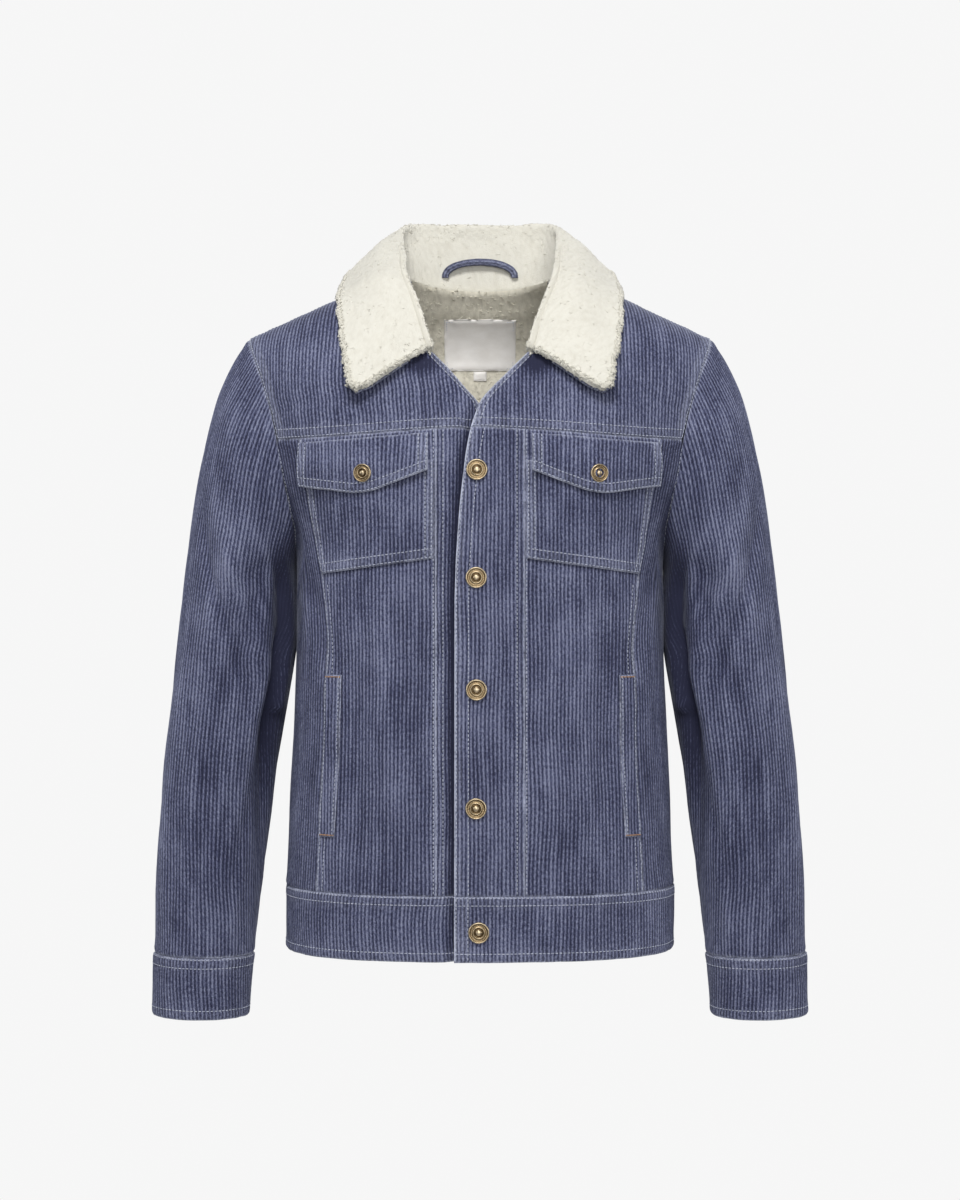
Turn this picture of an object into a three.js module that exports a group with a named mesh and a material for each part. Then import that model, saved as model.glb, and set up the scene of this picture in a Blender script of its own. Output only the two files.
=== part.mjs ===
// Sherpa lined corduroy jacket, hollow and filled out, hanging as if from a mount at the neck.
// Millimetres. +Z up, the front faces -Y, +X is the wearer's left. Z = 0 is the high shoulder point.
import * as THREE from 'three';

// Body sizes
const neckHalfWidth = 68;
const shoulderHalfWidth = 192;
const shoulderDrop = 57;
const chestDepthFront = 104;
const chestDepthBack = 98;
const armholeTop = -57;
const armholeBottom = -235;
const armholeHalfDepth = 57;
const waistSeam = -509;
const hemHeight = -561;
const yokeSeamAtEdge = -137;
const yokeSeamDrop = 7;
const ringPower = 2.5;
const roundNearNeckFront = 186;
const roundNearNeckBack = 84;
const roundNearArm = 110;
const lapRise = 1.7;
const lapDrop = 1.9;

// Cloth sizes
const clothWall = 2.4;
const liningWall = 4.0;
const seamGap = 0.32;
const layerGap = 0.65;
const overlayWall = 1.9;
const sherpaWall = 4.6;
const underCollarWall = 1.3;
const collarClearance = 7.2;
const collarColumns = 28;

// Pieces' sizes
const placketButtonRadius = 8.4;
const flapButtonRadius = 7.3;
const buttonHeight = 2.8;
const stripSeam = 35.5;
const flapStandOff = 1.2;
const weltWall = 1.5;
const labelWall = 0.9;
const labelStandOff = 1.0;
const backNeckDepth = 50;
const liningHeadShare = 0.9;

// Half width of the body at each height
const bodyWidths = {
  columns: ['z', 'halfWidth'],
  rows: [[-235, 152], [-270, 152.4], [-316, 152.8], [-378, 154.4], [-441, 157.6],
    [-504, 159.8], [-530, 160.3], [-561, 160]],
};
// Front and back depth of the body at each height
const bodyDepths = {
  columns: ['z', 'front', 'back'],
  rows: [[0, 98, 92], [-100, 102, 96], [-200, 104, 98], [-320, 102, 97], [-440, 102, 98], [-561, 103, 99]],
};
// Armhole seam as seen from the front
const armholeLine = {
  columns: ['z', 'x'],
  rows: [[-57, 192], [-64, 190.5], [-89, 180], [-120, 170], [-147, 164], [-171, 160], [-200, 154.5],
    [-217, 151.5], [-235, 152]],
};
// Free front edge of the upper (wearer's left) front, from the neckline down to the hem
const frontEdge = {
  columns: ['z', 'x'],
  rows: [[0, 68], [-8, 66.5], [-28, 57], [-50, 49], [-71, 42], [-92, 21.5], [-115, 0], [-135, -7],
    [-154, -11], [-198, -16.2], [-240, -19], [-274, -20.2], [-561, -20.5]],
};
// Seam between the front panel and the side panel
const outerSeam = {
  columns: ['z', 'x'],
  rows: [[-140, 146], [-181, 140], [-253, 128], [-306, 124.2], [-400, 126], [-465, 129.5], [-561, 135]],
};
// Sleeve sections: ends of each section in the front view, its half depth, and how far its middle lies back
const sleeveSections = {
  columns: ['outerX', 'outerZ', 'innerX', 'innerZ', 'halfDepth', 'back'],
  rows: [
    [192, -57, 152, -235, 57, 0], [204, -75, 153.6, -243, 57.5, 0], [216.5, -101, 154.4, -252, 57.5, 0],
    [226, -134, 154.9, -262, 57, 0.5], [234, -172, 155.2, -273, 56, 1], [241.5, -218, 155.6, -287, 54.5, 1.5],
    [248, -270, 156.2, -305, 53, 1], [253.5, -322, 159.5, -335, 51.5, 0], [257.5, -366, 164.2, -374, 50, -2],
    [261.5, -408, 169.2, -414, 48.5, -4], [265, -450, 174.3, -455, 46.5, -6],
    [267.6, -490, 179.3, -494, 44.5, -8], [269, -528, 183.8, -531, 42, -10],
    [269.6, -565, 187.6, -566, 39.5, -12],
  ],
};
// Cuff sections, the same columns
const cuffSections = {
  columns: ['outerX', 'outerZ', 'innerX', 'innerZ', 'halfDepth', 'back'],
  rows: [[270.4, -565.9, 187.4, -567.1, 40.2, -12], [270.9, -584.5, 189, -585.5, 39.4, -12.5],
    [271.2, -600.5, 190.6, -601.5, 38.6, -13], [271, -615.5, 191.6, -616.5, 38, -13.5]],
};
// Soft folds of the body: a line from top to bottom, its half width, and how far it stands out
const bodyFolds = {
  columns: ['side', 'x1', 'z1', 'x2', 'z2', 'width', 'height'],
  rows: [
    [-1, -84, -290, -66, -470, 13, 2.2], [-1, -58, -300, -48, -440, 10, -1.6],
    [-1, -108, -330, -98, -480, 11, -1.8],
    [-1, 78, -300, 70, -450, 14, 1.8], [-1, 98, -320, 104, -470, 11, -1.8], [-1, 54, -330, 60, -480, 10, 1.4],
    [-1, -140, -250, -120, -330, 9, -2.4], [-1, 140, -250, 122, -330, 9, -2.4],
    [1, -70, -300, -40, -480, 22, 2.6], [1, 64, -310, 38, -470, 24, 2.4], [1, -120, -230, -96, -330, 16, -2.6],
    [1, 122, -232, 98, -330, 16, -2.6],
  ],
};
// Soft folds of a sleeve: row position from shoulder 0 to cuff 1, angle round from the outside, and height
const sleeveFolds = {
  columns: ['along1', 'angle1', 'along2', 'angle2', 'width', 'height'],
  rows: [
    [0.34, 118, 0.62, 84, 13, -4.2], [0.4, 146, 0.7, 116, 11, 3.4], [0.3, 90, 0.52, 60, 12, 2.6],
    [0.56, 150, 0.86, 128, 12, -3.2], [0.5, 40, 0.9, 26, 13, 2.0], [0.66, 84, 0.94, 70, 12, -2.2],
    [0.34, 242, 0.6, 276, 14, -3.8], [0.5, 216, 0.8, 238, 12, 3.0], [0.62, 300, 0.92, 312, 13, -2.0],
  ],
};
// Collar stations from the middle of the back to the front end: seam, roll line and free edge
const collarStations = {
  columns: ['seamX', 'seamY', 'seamZ', 'rollX', 'rollY', 'rollZ', 'edgeX', 'edgeY', 'edgeZ'],
  rows: [
    [0, 50, -11.5, 0, 56, 49, 0, 79, -15],
    [26, 47.5, -10.5, 29, 54, 49, 38, 77, -14],
    [48, 39, -7, 54, 45, 48, 78, 65, -10],
    [61.5, 25, -1, 65.5, 28, 42, 102, 41, -3],
    [65, 4, 3.5, 66, 4, 27, 113, 14, 0],
    [62, -22, -1, 63.5, -19, 11, 119.5, -16, -17],
    [55, -47, -19, 61, -45, -7, 120.5, -50, -39],
    [47, -66, -42, 53, -66, -33, 115, -87, -75],
    [41, -79, -65, 43.5, -80, -59, 107, -101, -104],
  ],
};
// Placket buttons from the top down
const placketButtons = {
  columns: ['x', 'z'],
  rows: [[-2.5, -171], [-3, -256], [-2.8, -345], [-3.2, -439], [-1, -537]],
};
// Flap buttons, the wearer's left one first
const flapButtons = { columns: ['name', 'x', 'z'], rows: [['left', 92.7, -173], ['right', -91, -173]] };

const jacket = new THREE.Group();
jacket.name = 'sherpa_lined_jacket';
const corduroyColor = 0x565c78;
const sherpaColor = 0xe9e6d8;
const liningColor = 0xb9b3a4;
const brassColor = 0x9a7b4e;
const satinColor = 0xd9d6cf;

// Plain helpers
const lerp = (a, b, f) => a + (b - a) * f;
const clamp = (v, lo, hi) => Math.min(hi, Math.max(lo, v));
const smooth = (f) => { const c = clamp(f, 0, 1); return c * c * (3 - 2 * c); };
const unit = (v) => { const l = Math.hypot(...v) || 1; return v.map((c) => c / l); };
const cross = (a, b) => [a[1] * b[2] - a[2] * b[1], a[2] * b[0] - a[0] * b[2], a[0] * b[1] - a[1] * b[0]];
const plus = (a, b, f = 1) => a.map((c, i) => c + b[i] * f);
const minus = (a, b) => a.map((c, i) => c - b[i]);

// Smooth value of a column in a table, looked up by the table's first column or by row number
function rowAt(table, position) {
  const rows = table.rows;
  const last = rows.length - 1;
  const at = clamp(position, 0, last);
  const i = Math.min(Math.floor(at), last - 1);
  const f = at - i;
  const before = rows[Math.max(i - 1, 0)];
  const after = rows[Math.min(i + 2, last)];
  return rows[i].map((start, c) => {
    const end = rows[i + 1][c];
    const slopeStart = (end - before[c]) / (i > 0 ? 2 : 1);
    const slopeEnd = (after[c] - start) / (i + 2 <= last ? 2 : 1);
    const f2 = f * f;
    const f3 = f2 * f;
    return start * (2 * f3 - 3 * f2 + 1) + slopeStart * (f3 - 2 * f2 + f) + end * (3 * f2 - 2 * f3)
      + slopeEnd * (f3 - f2);
  });
}
function lookUp(table, key, column) {
  const rows = table.rows;
  const c = table.columns.indexOf(column);
  const down = rows[0][0] > rows[rows.length - 1][0] ? -1 : 1;
  let i = 0;
  while (i < rows.length - 2 && (key - rows[i + 1][0]) * down > 0) i += 1;
  const f = clamp((key - rows[i][0]) / (rows[i + 1][0] - rows[i][0]), 0, 1);
  return lerp(rows[i][c], rows[i + 1][c], f);
}

// The body's surface. Above the armhole's foot the front and back roll back to the shoulder line.
function shoulderLine(x) {
  const share = (Math.abs(x) - neckHalfWidth) / (shoulderHalfWidth - neckHalfWidth);
  return (-shoulderDrop * (share + Math.hypot(share, 0.06))) / 2;
}
function roundHeight(x, side) {
  const nearNeck = side < 0 ? roundNearNeckFront : roundNearNeckBack;
  return lerp(nearNeck, roundNearArm, smooth((Math.abs(x) - 40) / 130));
}
const armholeX = (z) => lookUp(armholeLine, z, 'x');
function armholeDepth(z) {
  const middle = (armholeTop + armholeBottom) / 2;
  const reach = (armholeTop - armholeBottom) / 2;
  return armholeHalfDepth * Math.sqrt(Math.max(0, 1 - ((z - middle) / reach) ** 2));
}
const depthAt = (z, side) => lookUp(bodyDepths, z, side < 0 ? 'front' : 'back');
function roundAt(x, z, side) {
  const drop = clamp((shoulderLine(x) - z) / roundHeight(x, side), 0, 1);
  return Math.sqrt(1 - (1 - drop) ** 2);
}
// Half width of the ring that passes through the armhole seam at this height
function ringWidth(z, side) {
  if (z <= armholeBottom) return lookUp(bodyWidths, z, 'halfWidth');
  const level = Math.min(z, armholeTop - 3);
  const x = armholeX(level);
  const share = clamp(armholeDepth(level) / (depthAt(level, side) * roundAt(x, level, side)), 0, 0.9);
  return (x + (z - level) * 0.2) / (1 - share ** ringPower) ** (1 / ringPower);
}
function foldHeight(table, side, x, z) {
  let sum = 0;
  for (const [rowSide, x1, z1, x2, z2, width, height] of table.rows) {
    const f = (z - z1) / (z2 - z1);
    const away = (x - lerp(x1, x2, f)) / width;
    const ends = smooth(clamp(Math.min(f + 0.25, 1.25 - f) / 0.5, 0, 1));
    if (rowSide === side) sum += height * ends * Math.exp(-away * away);
  }
  return sum;
}
// Where the two fronts lap, the wearer's left one stands out and the right one lies in
function lapLift(x, z, front) {
  const own = front > 0 ? x : -x;
  const edge = lookUp(frontEdge, z, 'x');
  const lapWidth = z < -115 ? -2 * edge : 0;
  const away = own - edge - lapWidth;
  const near = 1 - smooth(away / 15);
  const low = smooth((-84 - z) / 26);
  return near * low * (front > 0 ? lapRise : -lapDrop);
}
// Point of the body by x and drop angle: up to 90 degrees it rounds the shoulder, beyond that it falls straight
function bodyPoint(x, angle, side) {
  const height = roundHeight(x, side);
  const bend = Math.min(Math.abs(angle), Math.PI / 2);
  const straight = Math.max(0, Math.abs(angle) - Math.PI / 2);
  const z = shoulderLine(x) - height * (1 - Math.cos(bend) + straight);
  const share = Math.min(1, Math.abs(x) / ringWidth(z, side));
  const depth = depthAt(z, side) * Math.sin(bend) * (1 - share ** ringPower) ** (1 / ringPower);
  return [x, side * depth * Math.sign(angle || 1), z];
}
function dropAngle(x, z, side) {
  const drop = (shoulderLine(x) - z) / roundHeight(x, side);
  return drop < 1 ? Math.acos(clamp(1 - drop, -1, 1)) : Math.PI / 2 + drop - 1;
}
function bodySkin(side, front = 0) {
  return (x, angle) => {
    const e = 0.004;
    const here = bodyPoint(x, angle, side);
    const alongX = minus(bodyPoint(x + 0.5, angle, side), bodyPoint(x - 0.5, angle, side));
    const down = minus(bodyPoint(x, angle + e, side), bodyPoint(x, angle - e, side));
    const normal = unit(cross(alongX, down)).map((c) => c * side);
    const lift = (front ? lapLift(x, here[2], front) : 0) + foldHeight(bodyFolds, side, x, here[2]);
    return { point: plus(here, normal, lift), normal };
  };
}
// Point of the body by ring angle, 0 at the middle of the front, 90 degrees at the side
function ringPoint(ring, z) {
  const side = Math.cos(ring) >= 0 ? -1 : 1;
  const width = ringWidth(z, side);
  const x = width * Math.abs(Math.sin(ring)) ** (2 / ringPower) * Math.sign(Math.sin(ring) || 1);
  const depth = depthAt(z, side) * roundAt(x, z, side) * Math.abs(Math.cos(ring)) ** (2 / ringPower);
  return [x, side * depth, z];
}
function ringSkin(ring, z) {
  const here = ringPoint(ring, z);
  const around = minus(ringPoint(ring + 0.02, z), ringPoint(ring - 0.02, z));
  const down = minus(ringPoint(ring, z - 1), ringPoint(ring, z + 1));
  const normal = unit(cross(down, around));
  const side = Math.cos(ring) >= 0 ? -1 : 1;
  const lift = foldHeight(bodyFolds, side, here[0], z) * smooth(Math.abs(Math.cos(ring)) / 0.3);
  return { point: plus(here, normal, lift), normal };
}
const ringAngle = (x, z, side) => {
  const a = Math.asin(clamp(Math.abs(x) / ringWidth(z, side), 0, 1) ** (ringPower / 2)) * Math.sign(x);
  return side < 0 ? a : Math.sign(x) * Math.PI - a;
};

// Closed wall between an outer and an inner grid of points
function addWall(name, outer, inner, color, closed = false) {
  const rows = outer.length;
  const columns = outer[0].length;
  const positions = [];
  for (const grid of [outer, inner]) for (const row of grid) for (const p of row) positions.push(...p);
  const at = (layer, i, j) => layer * rows * columns + i * columns + (j % columns);
  const faces = [];
  const quad = (a, b, c, d) => faces.push(a, b, c, a, c, d);
  const spans = closed ? columns : columns - 1;
  for (let i = 0; i < rows - 1; i += 1) {
    for (let j = 0; j < spans; j += 1) {
      quad(at(0, i, j), at(0, i + 1, j), at(0, i + 1, j + 1), at(0, i, j + 1));
      quad(at(1, i, j), at(1, i, j + 1), at(1, i + 1, j + 1), at(1, i + 1, j));
    }
  }
  for (let j = 0; j < spans; j += 1) {
    quad(at(0, 0, j), at(0, 0, j + 1), at(1, 0, j + 1), at(1, 0, j));
    quad(at(0, rows - 1, j + 1), at(0, rows - 1, j), at(1, rows - 1, j), at(1, rows - 1, j + 1));
  }
  for (let i = 0; i < rows - 1 && !closed; i += 1) {
    quad(at(0, i + 1, 0), at(0, i, 0), at(1, i, 0), at(1, i + 1, 0));
    quad(at(0, i, columns - 1), at(0, i + 1, columns - 1), at(1, i + 1, columns - 1), at(1, i, columns - 1));
  }
  const geometry = new THREE.BufferGeometry();
  geometry.setAttribute('position', new THREE.Float32BufferAttribute(positions, 3));
  geometry.setIndex(faces);
  if (signedVolume(positions, faces) < 0) {
    for (let k = 0; k < faces.length; k += 3) [faces[k + 1], faces[k + 2]] = [faces[k + 2], faces[k + 1]];
    geometry.setIndex(faces);
  }
  geometry.computeVertexNormals();
  const mesh = new THREE.Mesh(geometry, new THREE.MeshStandardMaterial({ color }));
  mesh.name = name;
  jacket.add(mesh);
}
function signedVolume(positions, faces) {
  let sum = 0;
  const p = (i) => positions.slice(3 * i, 3 * i + 3);
  for (let k = 0; k < faces.length; k += 3) {
    const [a, b, c] = [p(faces[k]), p(faces[k + 1]), p(faces[k + 2])];
    const n = cross(b, c);
    sum += a[0] * n[0] + a[1] * n[1] + a[2] * n[2];
  }
  return sum;
}
// Even steps from 0 to 1
const steps = (count) => Array.from({ length: count + 1 }, (_, i) => i / count);

// Panel on a skin: a patch between four edges, each a function from 0 to 1 to skin coordinates
function patch(edges, across, along) {
  const { top, bottom, left, right } = edges;
  return steps(along).map((v) => steps(across).map((u) => [0, 1].map((c) => {
    const ruled = lerp(top(u)[c], bottom(u)[c], v) + lerp(left(v)[c], right(v)[c], u);
    const corners = lerp(lerp(top(0)[c], top(1)[c], u), lerp(bottom(0)[c], bottom(1)[c], u), v);
    return ruled - corners;
  })));
}
function addPanel(name, grid, skin, options = {}) {
  const { lift = () => 0, wall = clothWall, color = corduroyColor } = options;
  const points = (extra) => grid.map((row, i) => row.map((cell, j) => {
    const { point, normal } = skin(...cell);
    const u = j / (row.length - 1);
    const v = i / (grid.length - 1);
    return plus(point, normal, lift(u, v) + extra);
  }));
  addWall(name, points(0), points(-wall), color);
}

// Edges of the front pieces. Each gives x and height for the wearer's left side; the right side is mirrored.
const yokeSeam = (x) => yokeSeamAtEdge - yokeSeamDrop * smooth(Math.abs(x) / 150);
function frontGrid(sign, edges, across, along) {
  const asAngle = (edge) => (f) => {
    const [x, z] = edge(f);
    return [x * sign, dropAngle(x, z, -1)];
  };
  const turned = Object.fromEntries(Object.entries(edges).map(([k, edge]) => [k, asAngle(edge)]));
  return patch(turned, across, along);
}
const half = seamGap / 2;
const seamMiddle = (armholeTop + armholeBottom) / 2;
const seamReach = (armholeTop - armholeBottom) / 2;
const seamTurn = (z) => Math.acos(clamp((z - seamMiddle) / seamReach, -1, 1));
const seamInset = half * 1.2;
const outerSeamHead = 146;
const yokeFootAtArm = 164;
// Point of the armhole seam in the front view, evenly round its oval between two heights
function armholeBySeam(v, zStart, zEnd) {
  const z = seamMiddle + Math.cos(lerp(seamTurn(zStart), seamTurn(zEnd), v)) * seamReach;
  return [armholeX(z) - seamInset, z];
}
function addYoke(name, sign) {
  const topAngle = half / chestDepthFront;
  const edgeEnd = yokeSeamAtEdge + half;
  const armEnd = yokeSeam(yokeFootAtArm) + half;
  const toCell = ([x, z]) => [x * sign, Math.max(topAngle, dropAngle(x, z, -1))];
  const neckline = (v) => {
    const z = lerp(-0.02, edgeEnd, v ** 1.25);
    return [lookUp(frontEdge, z, 'x') + half, z];
  };
  const armhole = (v) => armholeBySeam(v, armholeTop, armEnd);
  const atTop = ([x]) => [x * sign, topAngle];
  const foot = (u) => {
    const x = lerp(neckline(1)[0], armhole(1)[0], u);
    return [x, yokeSeam(x) + half];
  };
  const grid = patch({
    top: (u) => atTop([lerp(neckline(0)[0], armhole(0)[0], u)]),
    bottom: (u) => toCell(foot(u)),
    left: (v) => (v === 0 ? atTop(neckline(0)) : toCell(neckline(v))),
    right: (v) => (v === 0 ? atTop(armhole(0)) : toCell(armhole(v))),
  }, 10, 9);
  addPanel(name, grid, bodySkin(-1, sign));
}
function addStrip(name, sign) {
  const top = (x) => yokeSeam(x) - half;
  const bottom = waistSeam + half;
  addPanel(name, frontGrid(sign, {
    top: (u) => {
      const x = lerp(lookUp(frontEdge, top(0), 'x') + half, stripSeam - half, u);
      return [x, top(x)];
    },
    bottom: (u) => [lerp(lookUp(frontEdge, bottom, 'x') + half, stripSeam - half, u), bottom],
    left: (v) => {
      const z = lerp(top(0), bottom, v);
      return [lookUp(frontEdge, z, 'x') + half, z];
    },
    right: (v) => [stripSeam - half, lerp(top(stripSeam), bottom, v)],
  }, 5, 17), bodySkin(-1, sign));
}
const outerSeamX = (z) => lookUp(outerSeam, z, 'x');
const panelEdges = (inset, topDrop, bottomZ) => ({
  top: (u) => {
    const x = lerp(stripSeam + inset, outerSeamX(yokeSeam(outerSeamHead) - topDrop) - inset, u);
    return [x, yokeSeam(x) - topDrop];
  },
  bottom: (u) => [lerp(stripSeam + inset, outerSeamX(bottomZ) - inset, u), bottomZ],
  left: (v) => [stripSeam + inset, lerp(yokeSeam(stripSeam) - topDrop, bottomZ, v)],
  right: (v) => {
    const z = lerp(yokeSeam(outerSeamHead) - topDrop, bottomZ, v);
    return [outerSeamX(z) - inset, z];
  },
});
function addFrontPanel(name, sign) {
  addPanel(name, frontGrid(sign, panelEdges(half, half, waistSeam + half), 7, 17), bodySkin(-1, sign));
}
// Chest pocket on the panel: its foot slants down towards the side
function addPocket(name, sign) {
  const foot = (u) => lerp(-241, -253, u);
  const head = -163;
  const inset = 1.2;
  const edges = {
    top: (u) => [lerp(stripSeam + inset, outerSeamX(head) - inset, u), head],
    bottom: (u) => [lerp(stripSeam + inset, outerSeamX(foot(1)) - inset, u), foot(u)],
    left: (v) => [stripSeam + inset, lerp(head, foot(0), v)],
    right: (v) => {
      const z = lerp(head, foot(1), v);
      return [outerSeamX(z) - inset, z];
    },
  };
  const lift = () => layerGap + overlayWall;
  addPanel(name, frontGrid(sign, edges, 8, 5), bodySkin(-1, sign), { lift, wall: overlayWall });
}
// Pocket flap: straight sides and a blunt point below its button
function addFlap(name, sign) {
  const inner = 41;
  const outer = (v) => lerp(144.5, 141.5, v);
  const innerFoot = -171.5;
  const outerFoot = -181.5;
  const pointFoot = -190;
  const belowSeam = 3.4;
  const base = layerGap + overlayWall;
  const head = (u) => yokeSeam(lerp(inner, outer(0), u)) - belowSeam;
  const foot = (u) => (u < 0.5 ? lerp(innerFoot, pointFoot, u * 2) : lerp(pointFoot, outerFoot, u * 2 - 1));
  const edges = {
    top: (u) => [lerp(inner, outer(0), u), head(u)],
    bottom: (u) => [lerp(inner, outer(1), u), foot(u)],
    left: (v) => [inner, lerp(head(0), innerFoot, v)],
    right: (v) => [outer(v), lerp(head(1), outerFoot, v)],
  };
  const lift = (u, v) => lerp(base + flapStandOff, base * 2 + flapStandOff / 2, smooth(v * 1.8));
  addPanel(name, frontGrid(sign, edges, 8, 4), bodySkin(-1, sign), { lift, wall: overlayWall });
}
// Welt of the side pocket, lying on the front panel beside the outer seam
function addWelt(name, sign) {
  const head = -334;
  const foot = -464;
  const width = 13.5;
  const inset = 1;
  const edges = {
    top: (u) => [outerSeamX(head) - lerp(width, inset, u), head],
    bottom: (u) => [outerSeamX(foot) - lerp(width, inset, u), foot],
    left: (v) => {
      const z = lerp(head, foot, v);
      return [outerSeamX(z) - width, z];
    },
    right: (v) => {
      const z = lerp(head, foot, v);
      return [outerSeamX(z) - inset, z];
    },
  };
  const lift = () => layerGap + weltWall;
  addPanel(name, frontGrid(sign, edges, 2, 9), bodySkin(-1, sign), { lift, wall: weltWall });
}
// Seam between the side panel and the back, from the armhole down
const backSeamTop = -165;
function backSeamX(z) {
  const rest = 1 - clamp((backSeamTop - z) / 210, 0, 1);
  return lerp(118, armholeX(backSeamTop), rest * rest);
}
// Side panel round the side: its head follows the yoke's end and then the armhole from front to back
function addSide(name, sign) {
  const frontTop = yokeSeam(outerSeamHead) - half;
  const foot = waistSeam + half;
  const yokeShare = 2 / 14;
  const corner = (x, z, side) => [ringAngle(x, z, side) * sign, z];
  const seamX = outerSeamX(frontTop) + half;
  const head = (u) => {
    if (u <= yokeShare) return corner(lerp(seamX, armholeX(frontTop) - seamInset, u / yokeShare), frontTop, -1);
    const share = (u - yokeShare) / (1 - yokeShare);
    const turn = lerp(seamTurn(frontTop), 2 * Math.PI - seamTurn(backSeamTop), share);
    const z = seamMiddle + Math.cos(turn) * seamReach;
    const low = 1 - Math.min(1, armholeDepth(z) / 40);
    const x = armholeX(z) - seamInset * (1 - low);
    return [ringAngle(x, z, turn < Math.PI ? -1 : 1) * sign, z - seamInset * low];
  };
  const backX = (z) => (z > backSeamTop - 0.01 ? armholeX(z) - seamInset : backSeamX(z) + half);
  const grid = patch({
    top: head,
    bottom: (u) => {
      const start = corner(outerSeamX(foot) + half, foot, -1);
      return [lerp(start[0], corner(backX(foot), foot, 1)[0], u), foot];
    },
    left: (v) => corner(outerSeamX(lerp(frontTop, foot, v)) + half, lerp(frontTop, foot, v), -1),
    right: (v) => corner(backX(lerp(backSeamTop, foot, v)), lerp(backSeamTop, foot, v), 1),
  }, 14, 17);
  addPanel(name, grid, ringSkin);
}
// Back panel from the neck and shoulder seams to the waist seam
function addBack(name) {
  const topAngle = half / chestDepthBack;
  const foot = waistSeam + half;
  const armShare = 7 / 24;
  const tip = armholeX(armholeTop) - seamInset;
  // Columns stand closest at the neck, with one at each neck corner
  const corner = neckHalfWidth + half;
  const stations = [0, 16, 32, 46, 58, corner, 88, 114, 142, 168, tip];
  const spread = (u) => {
    const at = Math.abs(2 * u - 1) * (stations.length - 1);
    const i = Math.min(Math.floor(at + 1e-6), stations.length - 2);
    return Math.sign(2 * u - 1) * lerp(stations[i], stations[i + 1], Math.max(0, at - i));
  };
  const head = (u) => {
    const x = spread(u);
    const share = Math.min(1, Math.abs(x) / corner);
    const neck = Math.asin((backNeckDepth * Math.sqrt(1 - share * share)) / depthAt(0, 1));
    return [x, Math.max(topAngle, neck)];
  };
  const edge = (sign) => (v) => {
    if (v === 0) return [sign * tip, topAngle];
    const low = v > armShare;
    const z = lerp(backSeamTop, foot, (v - armShare) / (1 - armShare));
    const [x, height] = low ? [backSeamX(z) - half, z] : armholeBySeam(v / armShare, armholeTop, backSeamTop);
    return [sign * x, Math.max(topAngle, dropAngle(x, height, 1))];
  };
  const footX = backSeamX(foot) - half;
  const grid = patch({
    top: head,
    bottom: (u) => {
      const x = (spread(u) * footX) / tip;
      return [x, dropAngle(x, foot, 1)];
    },
    left: edge(-1),
    right: edge(1),
  }, 20, 24);
  addPanel(name, grid, bodySkin(1));
}
// Waistband from the upper front's edge round the back to the lower front's edge
function addWaistband(name) {
  const lapX = -lookUp(frontEdge, hemHeight, 'x') - half;
  const standOff = 0.5;
  const head = waistSeam - half;
  const skin = (ring, z) => {
    const { point, normal } = ringSkin(ring, z);
    const lift = Math.cos(ring) > 0.2 ? lapLift(point[0], z, ring < Math.PI ? 1 : -1) : 0;
    return { point: plus(point, normal, lift + standOff), normal };
  };
  const start = ringAngle(-lapX, head, -1);
  const end = 2 * Math.PI + ringAngle(lapX, head, -1);
  const grid = steps(2).map((v) => steps(56).map((u) => [lerp(start, end, u), lerp(head, hemHeight, v)]));
  addPanel(name, grid, skin, { wall: clothWall + 0.4 });
}

// Sleeve and cuff
function sectionPoint(section, angle, sign) {
  const [outerX, outerZ, innerX, innerZ, halfDepth, back] = section;
  const middle = [(outerX + innerX) / 2, (outerZ + innerZ) / 2];
  const reach = [(outerX - innerX) / 2, (outerZ - innerZ) / 2];
  const c = Math.cos(angle);
  return [sign * (middle[0] + reach[0] * c), back - halfDepth * Math.sin(angle), middle[1] + reach[1] * c];
}
function armholePoint(angle, sign) {
  const z = (armholeTop + armholeBottom) / 2 + Math.cos(angle) * (armholeTop - armholeBottom) / 2;
  return [sign * armholeX(z), -armholeHalfDepth * Math.sin(angle), z];
}
function sleevePoint(along, angle, sign) {
  const last = sleeveSections.rows.length - 1;
  const section = rowAt(sleeveSections, along * last);
  const free = smooth(along * last / 2.6);
  const smoothPoint = sectionPoint(section, angle, sign);
  const seam = armholePoint(angle, sign);
  const chord = sectionPoint(sleeveSections.rows[0], angle, sign);
  return plus(smoothPoint, minus(seam, chord), 1 - free);
}
const deepestFold = 9;
function sleeveFold(along, angle) {
  let sum = 0;
  const degrees = (angle * 180) / Math.PI;
  for (const [along1, angle1, along2, angle2, width, height] of sleeveFolds.rows) {
    const f = (along - along1) / (along2 - along1);
    const away = (degrees - lerp(angle1, angle2, f)) / width;
    const ends = smooth(Math.min(f + 0.3, 1.3 - f) / 0.6);
    sum += height * ends * Math.exp(-away * away);
  }
  const innerSide = smooth((Math.abs(degrees - 180) - 14) / 22);
  const nearEnds = smooth(along / 0.12) * smooth((1 - along) / 0.06);
  return Math.max(sum * nearEnds, -deepestFold) * (along < 0.6 ? innerSide : 1);
}
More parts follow.
